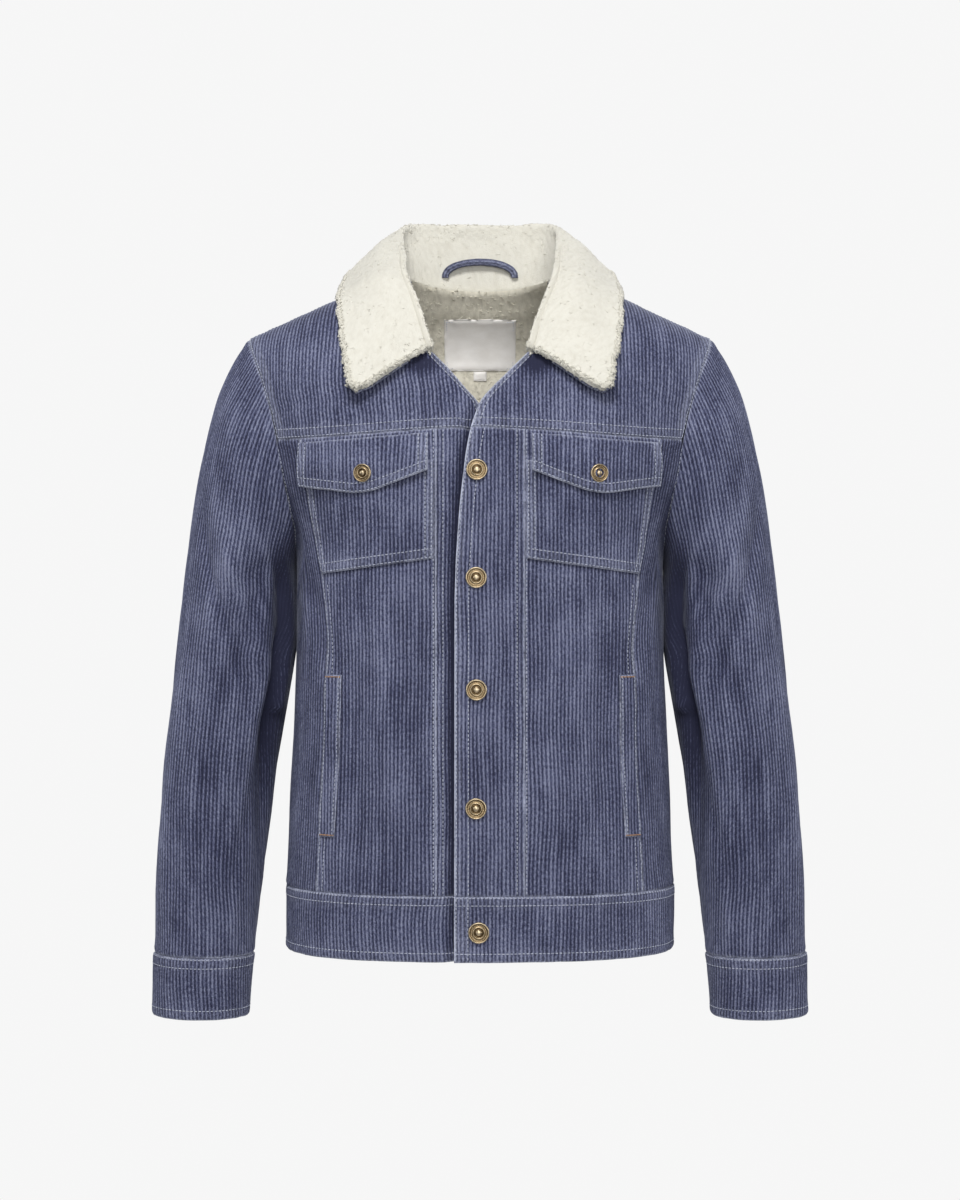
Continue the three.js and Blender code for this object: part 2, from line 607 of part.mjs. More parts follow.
function addTube(name, rows, around, pointAt, liftAt, sign, wall, rim) {
  const outer = [];
  const inner = [];
  for (let i = 0; i <= rows; i += 1) {
    const along = i / rows;
    const outerRow = [];
    const innerRow = [];
    for (let j = 0; j < around; j += 1) {
      const angle = (j / around) * 2 * Math.PI;
      const here = pointAt(along, angle, sign);
      const a = Math.min(1, along + 0.004);
      const b = Math.max(0, along - 0.004);
      const down = minus(pointAt(a, angle, sign), pointAt(b, angle, sign));
      const turn = minus(pointAt(along, angle + 0.02, sign), pointAt(along, angle - 0.02, sign));
      const normal = unit(cross(turn, down)).map((c) => c * sign);
      const way = rim ? rim(along, angle, normal, sign) : normal;
      outerRow.push(plus(here, normal, liftAt(along, angle)));
      innerRow.push(plus(here, way, liftAt(along, angle) - wall));
    }
    outer.push(outerRow);
    inner.push(innerRow);
  }
  addWall(name, outer, inner, corduroyColor, true);
}

// At the armhole the sleeve's inner edge turns the same way as the body's edge beside it
function armholeRim(along, angle, normal, sign) {
  if (along > 0) return normal;
  const point = armholePoint(angle, sign);
  const side = Math.sin(angle) >= 0 ? -1 : 1;
  const level = clamp(point[2], armholeBottom + 1, armholeTop - 1);
  const ring = ringAngle(Math.abs(point[0]), level, side) * sign;
  const atTop = smooth((Math.cos(angle) - 0.9) / 0.1);
  const body = unit(plus(ringSkin(ring, level).normal, [0.42 * sign, 0, 0.9], atTop * 6));
  return unit(plus(normal, body));
}
const armholeGap = seamGap + 0.15;
function addSleeve(name, sign) {
  const pointAt = (along, angle) => {
    const p = sleevePoint(along, angle, sign);
    const nearSeam = (1 - smooth(along / 0.06)) * armholeGap;
    return [p[0] + sign * nearSeam, p[1], p[2] - nearSeam * 0.25];
  };
  addTube(name, 20, 18, pointAt, sleeveFold, sign, clothWall, armholeRim);
}
function addCuff(name, sign) {
  const last = cuffSections.rows.length - 1;
  const pointAt = (along, angle) => sectionPoint(rowAt(cuffSections, along * last), angle, sign);
  addTube(name, 2, 18, pointAt, () => 0, sign, clothWall);
}

// Collar: a folded sheet from the neck seam up the stand, over the roll and down to its free edge
function collarProfile(station) {
  const side = Math.sign(station) || 1;
  const at = (offset) => {
    const row = rowAt(collarStations, Math.abs(station) + offset);
    return [row.slice(0, 3), row.slice(3, 6), row.slice(6, 9)];
  };
  const [seam, roll, edge] = at(0);
  const last = collarStations.rows.length - 1;
  const step = Math.abs(station) > last - 0.1 ? -0.05 : 0.05;
  const along = minus(at(step)[2], edge).map((c) => c * Math.sign(step));
  const out = unit(cross(along, minus(edge, roll)));
  const facing = out[2] < 0 ? out.map((c) => -c) : out;
  const stand = plus(seam, minus(roll, seam), 0.72);
  const puff = lerp(9, 4.5, smooth(Math.abs(station) / last));
  const fall = plus(plus(roll, minus(edge, roll), 0.3), facing, puff);
  const low = plus(plus(roll, minus(edge, roll), 0.68), facing, puff * 0.6);
  const knots = { rows: [seam, stand, roll, fall, low, edge] };
  return { knots, side };
}
function collarPoint(station, along) {
  const { knots, side } = collarProfile(station);
  const p = rowAt(knots, along * 5);
  return [p[0] * side, p[1], p[2]];
}
// Lowest height clear of the body at this place, and the point moved out to it
function bodyHeight(x, y, room) {
  const side = y < 0 ? -1 : 1;
  const share = Math.min(0.97, Math.abs(x) / ringWidth(-40, side));
  const depth = (depthAt(-60, side) + room) * (1 - share ** ringPower) ** (1 / ringPower);
  const reach = roundHeight(x, side) + room;
  return shoulderLine(x) + room - reach * (1 - Math.sqrt(Math.max(0, 1 - (y / depth) ** 2)));
}
function clearOfBody(p, room) {
  const side = p[1] < 0 ? -1 : 1;
  const low = bodyHeight(p[0], p[1], room);
  if (p[2] >= low || (Math.abs(p[0]) < 40 && p[1] < 0)) return p;
  if (Math.abs(p[1]) < 45) return [p[0], p[1], low];
  const share = Math.min(0.97, Math.abs(p[0]) / ringWidth(p[2], side));
  const reach = roundHeight(p[0], side) + room;
  const drop = clamp((shoulderLine(p[0]) + room - p[2]) / reach, 0, 1);
  const depth = (depthAt(p[2], side) + room) * (1 - share ** ringPower) ** (1 / ringPower);
  const y = side * depth * Math.sqrt(1 - (1 - drop) ** 2);
  return [p[0], Math.abs(y) > Math.abs(p[1]) ? y : p[1], p[2]];
}
function addCollarSheet(name, sheet) {
  const { start, rows, wall, lift, extra, color } = sheet;
  const last = collarStations.rows.length - 1;
  const clearance = layerGap + collarClearance + lift;
  const outer = [];
  const inner = [];
  for (const v of steps(rows)) {
    const along = lerp(start, 1, v);
    const lying = along > 0.45;
    const outerRow = [];
    const innerRow = [];
    for (const u of steps(collarColumns)) {
      const station = lerp(-last, last, u);
      const here = collarPoint(station, along);
      const next = clamp(station + 0.06, -last, last);
      const before = clamp(station - 0.06, -last, last);
      const sideways = minus(collarPoint(next, along), collarPoint(before, along));
      const below = collarPoint(station, Math.min(1, along + 0.01));
      const onward = minus(below, collarPoint(station, Math.max(0, along - 0.01)));
      const normal = unit(cross(sideways, onward));
      const reach = plus(here, unit(onward), along === 1 ? extra : 0);
      outerRow.push(clearOfBody(plus(reach, normal, lift), lying ? clearance : 1));
      innerRow.push(clearOfBody(plus(reach, normal, lift - wall), lying ? clearance - wall : 1));
    }
    outer.push(outerRow);
    inner.push(innerRow);
  }
  addWall(name, outer, inner, color);
}

// Back neck lining, label, size tag and hanger loop
function insideBack(halfWidthTop, halfWidthFoot, head, foot, across, along) {
  return steps(along).map((v) => steps(across).map((u) => {
    const halfWidth = lerp(halfWidthTop, halfWidthFoot, v);
    const x = lerp(-halfWidth, halfWidth, u);
    const z = lerp(head(x), foot, v);
    return [x, dropAngle(x, z, 1)];
  }));
}
const liningGap = 3.2;
const liningFace = -(clothWall + liningGap + liningWall);
// Head of the lining: a little above the back neck seam, and parallel to it
function liningHead(x) {
  const share = Math.min(1, Math.abs(x) / neckHalfWidth);
  const neck = Math.asin((backNeckDepth * Math.sqrt(1 - share * share)) / depthAt(0, 1));
  return shoulderLine(x) - roundHeight(x, 1) * (1 - Math.cos(neck * liningHeadShare));
}
function addLining() {
  const skin = bodySkin(1);
  const grid = insideBack(54, 104, liningHead, -178, 12, 12);
  const behind = () => -(clothWall + liningGap);
  addPanel('back_neck_lining', grid, skin, { lift: behind, wall: liningWall, color: liningColor });
  const onLining = () => liningFace - labelStandOff;
  const label = insideBack(31, 31, () => -25, -73, 5, 4);
  addPanel('neck_label', label, skin, { lift: onLining, wall: labelWall, color: satinColor });
  const tag = insideBack(5.7, 5.7, () => -73.6, -83, 2, 1);
  addPanel('size_tag', tag, skin, { lift: onLining, wall: labelWall, color: satinColor });
}
function addHangerLoop() {
  const halfSpan = 29.5;
  const rise = 13.5;
  const foot = 1;
  const around = 6;
  const rows = 14;
  const band = { wide: 2.9, thick: 1.7 };
  const outer = [];
  for (let i = 0; i <= rows; i += 1) {
    const turn = (Math.PI * i) / rows;
    const x = -halfSpan * Math.cos(turn);
    const z = foot + rise * Math.sin(turn) ** 0.85;
    const y = 46.5 - 9.5 * (Math.abs(x) / 48) ** 2 + 2.4 * Math.cos(turn) ** 6;
    const out = unit([-Math.cos(turn) * rise, 0, Math.sin(turn) * halfSpan]);
    outer.push(Array.from({ length: around }, (_, j) => {
      const a = (2 * Math.PI * j) / around;
      return plus(plus([x, y, z], out, band.wide * Math.cos(a)), [0, 1, 0], band.thick * Math.sin(a));
    }));
  }
  addRod('hanger_loop', outer, corduroyColor);
}
// Closed rod from rings of points, with a middle point at each end
function addRod(name, rings, color) {
  const positions = rings.flat(2);
  const n = rings[0].length;
  const last = rings.length - 1;
  const faces = [];
  for (let i = 0; i < last; i += 1) {
    for (let j = 0; j < n; j += 1) {
      const k = (j + 1) % n;
      faces.push(i * n + j, (i + 1) * n + j, (i + 1) * n + k, i * n + j, (i + 1) * n + k, i * n + k);
    }
  }
  for (const [row, turned] of [[0, false], [last, true]]) {
    const middle = positions.length / 3;
    positions.push(...[0, 1, 2].map((c) => rings[row].reduce((sum, p) => sum + p[c] / n, 0)));
    for (let j = 0; j < n; j += 1) {
      const pair = [row * n + j, row * n + ((j + 1) % n)];
      faces.push(middle, ...(turned ? pair.reverse() : pair));
    }
  }
  if (signedVolume(positions, faces) < 0) {
    for (let k = 0; k < faces.length; k += 3) [faces[k + 1], faces[k + 2]] = [faces[k + 2], faces[k + 1]];
  }
  const geometry = new THREE.BufferGeometry();
  geometry.setAttribute('position', new THREE.Float32BufferAttribute(positions, 3));
  geometry.setIndex(faces);
  geometry.computeVertexNormals();
  const mesh = new THREE.Mesh(geometry, new THREE.MeshStandardMaterial({ color }));
  mesh.name = name;
  jacket.add(mesh);
}
// Button: a shallow dish with a rim and a middle stud, turned about the cloth's normal
const buttonProfile = {
  columns: ['radius', 'height'],
  rows: [[0.98, 0.02], [1, 0.5], [0.9, 0.86], [0.66, 0.72], [0.44, 0.42], [0.3, 0.5], [0.24, 0.98]],
};
function addButton(name, x, z, radius, front, lift) {
  const { point, normal } = bodySkin(-1, front)(x, dropAngle(x, z, -1));
  const base = plus(point, normal, lift);
  const sideways = unit(cross([0, 0, 1], normal));
  const up = cross(normal, sideways);
  const around = 10;
  const rings = buttonProfile.rows.map(([r, h]) => Array.from({ length: around }, (_, j) => {
    const a = (2 * Math.PI * j) / around;
    const out = plus(plus(base, sideways, radius * r * Math.cos(a)), up, radius * r * Math.sin(a));
    return plus(out, normal, h * buttonHeight);
  }));
  addRod(name, rings, brassColor);
}

for (const [name, sign] of [['left', 1], ['right', -1]]) {
  addYoke(`front_yoke_${name}`, sign);
  addStrip(`front_strip_${name}`, sign);
  addFrontPanel(`front_panel_${name}`, sign);
  addPocket(`chest_pocket_${name}`, sign);
  addFlap(`pocket_flap_${name}`, sign);
  addWelt(`side_welt_${name}`, sign);
  addSide(`side_panel_${name}`, sign);
  addSleeve(`sleeve_${name}`, sign);
  addCuff(`cuff_${name}`, sign);
}
addBack('back_panel');
addWaistband('waistband');
addCollarSheet('collar', { start: 0, rows: 12, wall: sherpaWall, lift: 0, extra: 0, color: sherpaColor });
addCollarSheet('under_collar', {
  start: 7 / 12, rows: 5, wall: underCollarWall, lift: -(sherpaWall + 0.45), extra: 0.8, color: corduroyColor,
});
addLining();
addHangerLoop();
placketButtons.rows.forEach(([x, z], i) => {
  const lift = z < waistSeam ? 1.1 : 0.5;
  addButton(`placket_button_${i + 1}`, x, z, placketButtonRadius, 1, lift);
});

flapButtons.rows.forEach(([name, x, z]) => {
  const lift = 2 * (layerGap + overlayWall) + flapStandOff;
  addButton(`flap_button_${name}`, x, z, flapButtonRadius, Math.sign(x), lift);
});

export default jacket;
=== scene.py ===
import math
import bpy
import numpy as np
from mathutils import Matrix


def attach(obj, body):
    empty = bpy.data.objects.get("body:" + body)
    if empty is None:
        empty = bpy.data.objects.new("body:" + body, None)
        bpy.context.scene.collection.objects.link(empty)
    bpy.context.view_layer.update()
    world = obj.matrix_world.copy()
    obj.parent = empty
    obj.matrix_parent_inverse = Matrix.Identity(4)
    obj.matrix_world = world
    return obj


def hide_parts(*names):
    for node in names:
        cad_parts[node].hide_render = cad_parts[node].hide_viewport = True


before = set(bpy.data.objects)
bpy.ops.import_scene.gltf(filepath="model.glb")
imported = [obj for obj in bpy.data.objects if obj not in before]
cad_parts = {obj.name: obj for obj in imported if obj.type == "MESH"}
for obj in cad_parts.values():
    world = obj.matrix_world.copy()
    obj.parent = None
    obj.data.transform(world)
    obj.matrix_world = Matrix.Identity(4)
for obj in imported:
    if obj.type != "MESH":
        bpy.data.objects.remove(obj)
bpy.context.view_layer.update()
print("frame loaded")

mm = 0.001
wale = 3.175  # one rib of eight-wale corduroy, mm
waleRelief = 0.27
fineStep = wale / 4  # columns across the ribs

# Body sizes in mm, as in the solids
neckHalfWidth = 68.0
shoulderHalfWidth = 192.0
shoulderDrop = 57.0
armholeTop = -57.0
armholeBottom = -235.0
armholeHalfDepth = 57.0
waistSeam = -509.0
hemHeight = -561.0
yokeSeamAtEdge = -137.0
yokeSeamDrop = 7.0
ringPower = 2.5
roundNearNeck = {-1: 186.0, 1: 84.0}
roundNearArm = 110.0
chestDepth = {-1: 104.0, 1: 98.0}
lapRise = 1.7
lapDrop = 2.5
lapStart = -115  # below this height the fronts lap
lapGroove = {"depth": 4.4, "width": 4.5}
clothWall = 2.4
overlayWall = 1.9
layerGap = 0.65
seamGap = 0.04
half = seamGap / 2
stripSeam = 35.5
backNeckDepth = 50.0
liningDepth = 5.6  # from the cloth's outer face to the lining's outer face
liningWall = 4.0
sherpaWall = 4.6
backSeamTop = -165.0
seamMiddle = (armholeTop + armholeBottom) / 2
seamReach = (armholeTop - armholeBottom) / 2
seamInset = half * 1.2


# A table of rows becomes evenly spaced, softened columns, so that no row shows as a kink
def softTable(rows, blur=7.0):
    data = np.array(sorted(rows), float)
    keys = np.arange(data[0, 0] - 40, data[-1, 0] + 40.5, 1.0)
    kernel = np.exp(-0.5 * (np.arange(-24, 25) / blur) ** 2)
    kernel /= kernel.sum()
    columns = []
    for c in range(1, data.shape[1]):
        slopeLow = (data[1, c] - data[0, c]) / (data[1, 0] - data[0, 0])
        slopeHigh = (data[-1, c] - data[-2, c]) / (data[-1, 0] - data[-2, 0])
        y = np.interp(keys, data[:, 0], data[:, c])
        y += np.minimum(keys - data[0, 0], 0) * slopeLow + np.maximum(keys - data[-1, 0], 0) * slopeHigh
        columns.append(np.convolve(np.pad(y, 24, mode="reflect", reflect_type="odd"), kernel, mode="valid"))
    return keys, columns


# Half width of the body by height
bodyWidths = softTable([(-235, 152), (-270, 152.4), (-316, 152.8), (-378, 154.4), (-441, 157.6),
                        (-504, 159.8), (-530, 160.3), (-561, 160)])
# Front and back depth of the body by height
bodyDepths = softTable([(0, 98, 92), (-100, 102, 96), (-200, 104, 98), (-320, 102, 97), (-440, 102, 98),
                        (-561, 103, 99)])
# Half width of the armhole seam by height
armholeLine = softTable([(-57, 192), (-64, 190.5), (-89, 180), (-120, 170), (-147, 164), (-171, 160),
                         (-200, 154.5), (-217, 151.5), (-235, 152)], 4)
# Front edge of the upper front by height, from the neckline down
frontEdgeLine = softTable([(0, 68), (-8, 66.5), (-28, 57), (-50, 49), (-71, 42), (-92, 21.5), (-115, 0),
                           (-135, -7), (-154, -11), (-198, -16.2), (-240, -19), (-274, -20.2),
                           (-561, -20.5)], 3)
# Seam between front panel and side panel by height
outerSeamLine = softTable([(-140, 146), (-181, 140), (-253, 128), (-306, 124.2), (-400, 126), (-465, 129.5),
                           (-561, 135)])


def look(table, key, column=0):
    return np.interp(key, table[0], table[1][column])


def smooth(f):
    f = np.clip(f, 0, 1)
    return f * f * (3 - 2 * f)


def lerp(a, b, f):
    return a + (b - a) * f


def unit(v):
    return v / np.maximum(np.linalg.norm(v, axis=-1, keepdims=True), 1e-12)


def pair(a, b):
    return np.stack(np.broadcast_arrays(a, b), -1).astype(float)


# Smooth value noise between -1 and 1: random numbers on a lattice, blended by smooth steps
noiseLattice = np.random.default_rng(41).uniform(-1, 1, (12, 256, 256))


def softNoise(x, y, layer=0):
    x, y = np.broadcast_arrays(np.asarray(x, float), np.asarray(y, float))
    i, j = np.floor(x).astype(int), np.floor(y).astype(int)
    u, v = smooth(x - i), smooth(y - j)
    grid = noiseLattice[layer]
    i0, i1, j0, j1 = i % 256, (i + 1) % 256, j % 256, (j + 1) % 256
    return lerp(lerp(grid[i0, j0], grid[i1, j0], u), lerp(grid[i0, j1], grid[i1, j1], u), v)


# The body's surface, the same as in the solids. The shoulder falls evenly from the neck to the arm, with a
# soft bend where it starts.
def shoulderLine(x):
    share = (np.abs(x) - neckHalfWidth) / (shoulderHalfWidth - neckHalfWidth)
    return -shoulderDrop * (share + np.hypot(share, 0.06)) / 2


# How far down the shoulder's rounding reaches, from its middle out to the arm
def roundHeight(x, side):
    return lerp(roundNearNeck[side], roundNearArm, smooth((np.abs(x) - 40) / 130))


def armholeX(z):
    return look(armholeLine, z)


# The armhole is an oval seen from the side
def armholeDepth(z):
    return armholeHalfDepth * np.sqrt(np.maximum(0, 1 - ((z - seamMiddle) / seamReach) ** 2))


def depthAt(z, side):
    return look(bodyDepths, z, 0 if side < 0 else 1)


# Share of the full depth under the shoulder: a quarter circle over the rounding's height
def roundAt(x, z, side):
    drop = np.clip((shoulderLine(x) - z) / roundHeight(x, side), 0, 1)
    return np.sqrt(1 - (1 - drop) ** 2)


# Half width of the ring at a height: the body's own below the armhole, and above it wide enough that the
# ring passes through the armhole seam
def ringWidth(z, side):
    level = np.minimum(z, armholeTop - 3)
    x = armholeX(level)
    deep = depthAt(level, side) * roundAt(x, level, side)
    share = np.clip(armholeDepth(level) / np.maximum(deep, 1e-6), 0, 0.9)
    above = (x + (z - level) * 0.2) / (1 - share ** ringPower) ** (1 / ringPower)
    return np.where(z <= armholeBottom, look(bodyWidths, z), above)


# Soft folds as gaussian ridges (height over 0) and troughs along a line from (x1, z1) to (x2, z2);
# side is -1 for the front and 1 for the back
foldTable = {
    "columns": "side x1 z1 x2 z2 width height",
    "rows": [
        (-1, -84, -290, -66, -470, 13, 2.2), (-1, -58, -300, -48, -440, 10, -1.6),
        (-1, -108, -330, -98, -480, 11, -1.8), (-1, 78, -300, 70, -450, 14, 1.8),
        (-1, 98, -320, 104, -470, 11, -1.8), (-1, 54, -330, 60, -480, 10, 1.4),
        (-1, -140, -250, -120, -330, 9, -2.4), (-1, 140, -250, 122, -330, 9, -2.4),
        (1, -70, -300, -40, -480, 22, 2.6), (1, 64, -310, 38, -470, 24, 2.4),
        (1, -120, -230, -96, -330, 16, -2.6), (1, 122, -232, 98, -330, 16, -2.6),
        # finer creases that only the cloth shows
        (-1, -74, -262, -82, -330, 6, 0.9), (-1, -96, -268, -84, -350, 7, -0.8),
        (-1, 84, -262, 92, -330, 6, 0.8), (-1, -66, -370, -78, -500, 5, -0.8),
        (-1, 88, -380, 80, -500, 6, 0.8), (-1, -46, -260, -44, -420, 5, 0.7),
        (-1, 46, -262, 44, -420, 5, 0.6), (-1, -150, -240, -136, -300, 5, 1.0),
        (-1, 150, -240, 136, -300, 5, 1.0), (-1, -158, -120, -120, -96, 8, -0.9),
        (-1, 158, -120, 120, -96, 8, -0.9), (-1, 60, -100, 110, -124, 9, 0.8),
        (-1, -60, -100, -108, -126, 9, 0.8), (1, -150, -150, -110, -210, 9, 1.6),
        (1, 150, -150, 112, -214, 9, 1.6), (1, 10, -240, -14, -420, 20, -1.2),
        (1, -96, -380, -86, -500, 9, -1.2), (1, 96, -390, 82, -500, 9, -1.2),
    ],
}


def foldHeight(side, x, z):
    total = np.zeros(np.broadcast(x, z).shape)
    for rowSide, x1, z1, x2, z2, width, height in foldTable["rows"]:
        if rowSide == side:
            f = (z - z1) / (z2 - z1)
            away = (x - lerp(x1, x2, f)) / width
            total = total + height * smooth(np.minimum(f + 0.25, 1.25 - f) / 0.5) * np.exp(-away * away)
    # a slack, uneven hang all over
    wide, fine = softNoise(x / 31 + 40, z / 58 + 7 * side), softNoise(x / 13, z / 21 + 9 * side, 1)
    return total + 0.7 * wide + 0.35 * fine


# The upper front rises over the lower one where they lap, and a groove runs beside the lap's edge
def lapLift(x, z, front):
    edge = look(frontEdgeLine, z)
    lapWidth = np.where(z < lapStart, -2 * edge, 0)
    beyond = x * front - edge - lapWidth
    near = 1 - smooth(beyond / 15)
    groove = lapGroove["depth"] * np.exp(-(beyond / lapGroove["width"]) ** 2) if front < 0 else 0
    return smooth((-84 - z) / 26) * (near * (lapRise if front > 0 else -lapDrop) - groove)


# Body point by x and drop angle: a quarter turn rounds the shoulder, then it falls straight
def bodyPoint(x, angle, side):
    height = roundHeight(x, side)
    bend = np.minimum(np.abs(angle), math.pi / 2)
    z = shoulderLine(x) - height * (1 - np.cos(bend)) - height * np.maximum(0, np.abs(angle) - math.pi / 2)
    share = np.minimum(1, np.abs(x) / ringWidth(z, side))
    depth = depthAt(z, side) * np.sin(bend) * (1 - share ** ringPower) ** (1 / ringPower)
    return np.stack([x + 0 * z, side * depth * np.where(angle < 0, -1, 1), z], -1)


def dropAngle(x, z, side):
    drop = (shoulderLine(x) - z) / roundHeight(x, side)
    return np.where(drop < 1, np.arccos(np.clip(1 - drop, -1, 1)), math.pi / 2 + drop - 1)


# A skin turns cells (two coordinates) into points, normals and the direction of the ribs
def bodySkin(side, front=0):
    def skin(cells):
        x, angle = cells[..., 0], cells[..., 1]
        here = bodyPoint(x, angle, side)
        alongX = bodyPoint(x + 0.5, angle, side) - bodyPoint(x - 0.5, angle, side)
        down = bodyPoint(x, angle + 0.004, side) - bodyPoint(x, angle - 0.004, side)
        normal = unit(np.cross(alongX, down)) * side
        lift = foldHeight(side, x, here[..., 2])
        if front:
            lift = lift + lapLift(x, here[..., 2], front)
        return here + normal * lift[..., None], normal, unit(down), lift
    return skin


# Body point by the turn round the body, from the middle of the front, and height: width times a power of
# the sine and depth times a power of the cosine, which is an oval with fuller corners
def ringPoint(ring, z):
    isFront = np.cos(ring) >= 0
    width = np.where(isFront, ringWidth(z, -1), ringWidth(z, 1))
    sine = np.sin(ring)
    x = width * np.abs(sine) ** (2 / ringPower) * np.where(sine < 0, -1, 1)
    depth = np.where(isFront, depthAt(z, -1) * roundAt(x, z, -1), depthAt(z, 1) * roundAt(x, z, 1))
    y = np.where(isFront, -1, 1) * depth * np.abs(np.cos(ring)) ** (2 / ringPower)
    return np.stack([x, y, z + 0 * x], -1)


def ringSkin(lap=False):
    def skin(cells):
        ring, z = cells[..., 0], cells[..., 1]
        here = ringPoint(ring, z)
        around = ringPoint(ring + 0.02, z) - ringPoint(ring - 0.02, z)
        down = ringPoint(ring, z - 1) - ringPoint(ring, z + 1)
        normal = unit(np.cross(down, around))
        x = here[..., 0]
        front = foldHeight(-1, x, z)
        back = foldHeight(1, x, z)
        facing = smooth(np.abs(np.cos(ring)) / 0.3)
        lift = np.where(np.cos(ring) >= 0, front, back) * facing + 0.6 * softNoise(ring * 6, z / 47, 2)
        if lap:
            ends = np.where(ring < math.pi, lapLift(x, z, 1), lapLift(x, z, -1))
            lift = lift + np.where(np.cos(ring) > 0.2, ends, 0) + 0.5
        return here + normal * lift[..., None], normal, unit(down), lift
    return skin


# The turn round the body where a point with this x and height lies, the reverse of ringPoint
def ringAngle(x, z, side):
    a = np.arcsin(np.clip(np.abs(x) / ringWidth(z, side), 0, 1) ** (ringPower / 2)) * np.sign(x)
    return a if side < 0 else np.sign(x) * math.pi - a


# Shares from 0 to 1 for rows over a length in mm, close together at both ends, where the seams are
def seamRows(length, count):
    ends = np.array([0, 0.8, 1.7, 2.9, 4.6, 7.0]) / length
    middle = np.linspace(ends[-1], 1 - ends[-1], count + 1)[1:-1]
    return np.concatenate([ends, middle, 1 - ends[::-1]])


# The panels' grids: width across the ribs and length in mm, and the rows that lie between both seams
panelGrid = {
    "yoke": {"width": 150, "length": 150, "rows": 32},
    "strip": {"width": 56, "length": 370, "rows": 58},
    "panel": {"width": 110, "length": 365, "rows": 58},
    "pocket": {"width": 106, "length": 84, "rows": 16},
    "flap": {"width": 104, "length": 38, "rows": 8},
    "welt": {"width": 12, "length": 130, "rows": 22},
    "side": {"width": 190, "length": 330, "rows": 58},
    "back": {"width": 340, "length": 480, "rows": 84},
    "band": {"width": 905, "length": 52, "rows": 6},
}


# Shares across and along a panel; columns come in fours, since each inner one stands for four outer ones
def gridShares(piece):
    grid = panelGrid[piece]
    columns = int(math.ceil(grid["width"] / fineStep / 4)) * 4
    return np.linspace(0, 1, columns + 1), seamRows(grid["length"], grid["rows"])


# Coons patch: a grid of cells between four edges, each a function of an array from 0 to 1
def patch(piece, top, bottom, left, right):
    us, vs = gridShares(piece)
    t, b, l, r = top(us)[None], bottom(us)[None], left(vs)[:, None], right(vs)[:, None]
    u, v = us[None, :, None], vs[:, None, None]
    corners = lerp(lerp(t[:, :1], t[:, -1:], u), lerp(b[:, :1], b[:, -1:], u), v)
    return lerp(t, b, v) + lerp(l, r, u) - corners


# Quads between the points of a grid, closed round or not, whose first point has the number start
def gridFaces(rows, columns, start=0, flip=False, closed=False):
    spans = columns if closed else columns - 1
    i, j = np.meshgrid(np.arange(rows - 1), np.arange(spans), indexing="ij")
    i, j = i.ravel(), j.ravel()
    k = (j + 1) % columns
    quads = np.stack([i * columns + j, (i + 1) * columns + j, (i + 1) * columns + k, i * columns + k], 1)
    return start + (quads[:, ::-1] if flip else quads)


def signedVolume(points, quads):
    a, b, c, d = (points[quads[:, n]] - points[0] for n in range(4))
    return (np.einsum("ij,ij->i", a, np.cross(b, c)) + np.einsum("ij,ij->i", a, np.cross(c, d))).sum()


triangleCounts = {}


# Mesh from points in mm and a list of face arrays, with uvs by loop, material indices by face, and by
# point the wear (on pile the painted shade between lumps) and the painted shade and light of folds
def makeMesh(name, points, faceSets, materials, uv=None, wear=None, index=None, paintedFoldShade=None):
    mesh = bpy.data.meshes.new(name)
    sizes = np.concatenate([np.full(len(g), g.shape[1]) for g in faceSets])
    loops = np.concatenate([g.ravel() for g in faceSets]).astype(np.int32)
    mesh.vertices.add(len(points))
    mesh.vertices.foreach_set("co", (points * mm).astype(np.float32).ravel())
    mesh.loops.add(len(loops))
    mesh.loops.foreach_set("vertex_index", loops)
    mesh.polygons.add(len(sizes))
    mesh.polygons.foreach_set("loop_start", np.concatenate([[0], np.cumsum(sizes)[:-1]]).astype(np.int32))
    mesh.polygons.foreach_set("use_smooth", np.ones(len(sizes), bool))
    triangleCounts[name] = int((sizes - 2).sum())
    for m in materials:
        mesh.materials.append(m)
    if index is not None:
        mesh.polygons.foreach_set("material_index", index.astype(np.int32))
    mesh.update(calc_edges=True)
    if uv is not None:
        mesh.uv_layers.new(name="cloth").data.foreach_set("uv", uv.astype(np.float32).ravel())
    if wear is not None:
        mesh.attributes.new("wear", "FLOAT", "POINT").data.foreach_set("value", wear.astype(np.float32))
    if paintedFoldShade is not None:
        mesh.attributes.new("paintedFoldShade", "FLOAT", "POINT").data.foreach_set("value", paintedFoldShade.astype(np.float32))
    obj = bpy.data.objects.new(name, mesh)
    bpy.context.scene.collection.objects.link(obj)
    return obj


# Says where a piece belongs: it rides on the root and takes the place of its nodes; slot is not used
def placePiece(obj, slot, *nodes):
    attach(obj, "root")
    if nodes:
        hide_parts(*nodes)


# Fans of triangles that close both ends of a tube of rings, whose two end points come after the rings
def endFans(rows, columns, flip=False):
    j = np.arange(columns)
    on = (j + 1) % columns
    last = (rows - 1) * columns
    fans = np.concatenate([np.stack([np.full(columns, rows * columns), j, on], 1),
                           np.stack([np.full(columns, rows * columns + 1), last + on, last + j], 1)])
    return fans[:, [0, 2, 1]] if flip else fans


def gridArea(points):
    cells = np.cross(np.diff(points, axis=1)[:-1], np.diff(points, axis=0)[:, :-1])
    return np.linalg.norm(cells, axis=-1).sum()


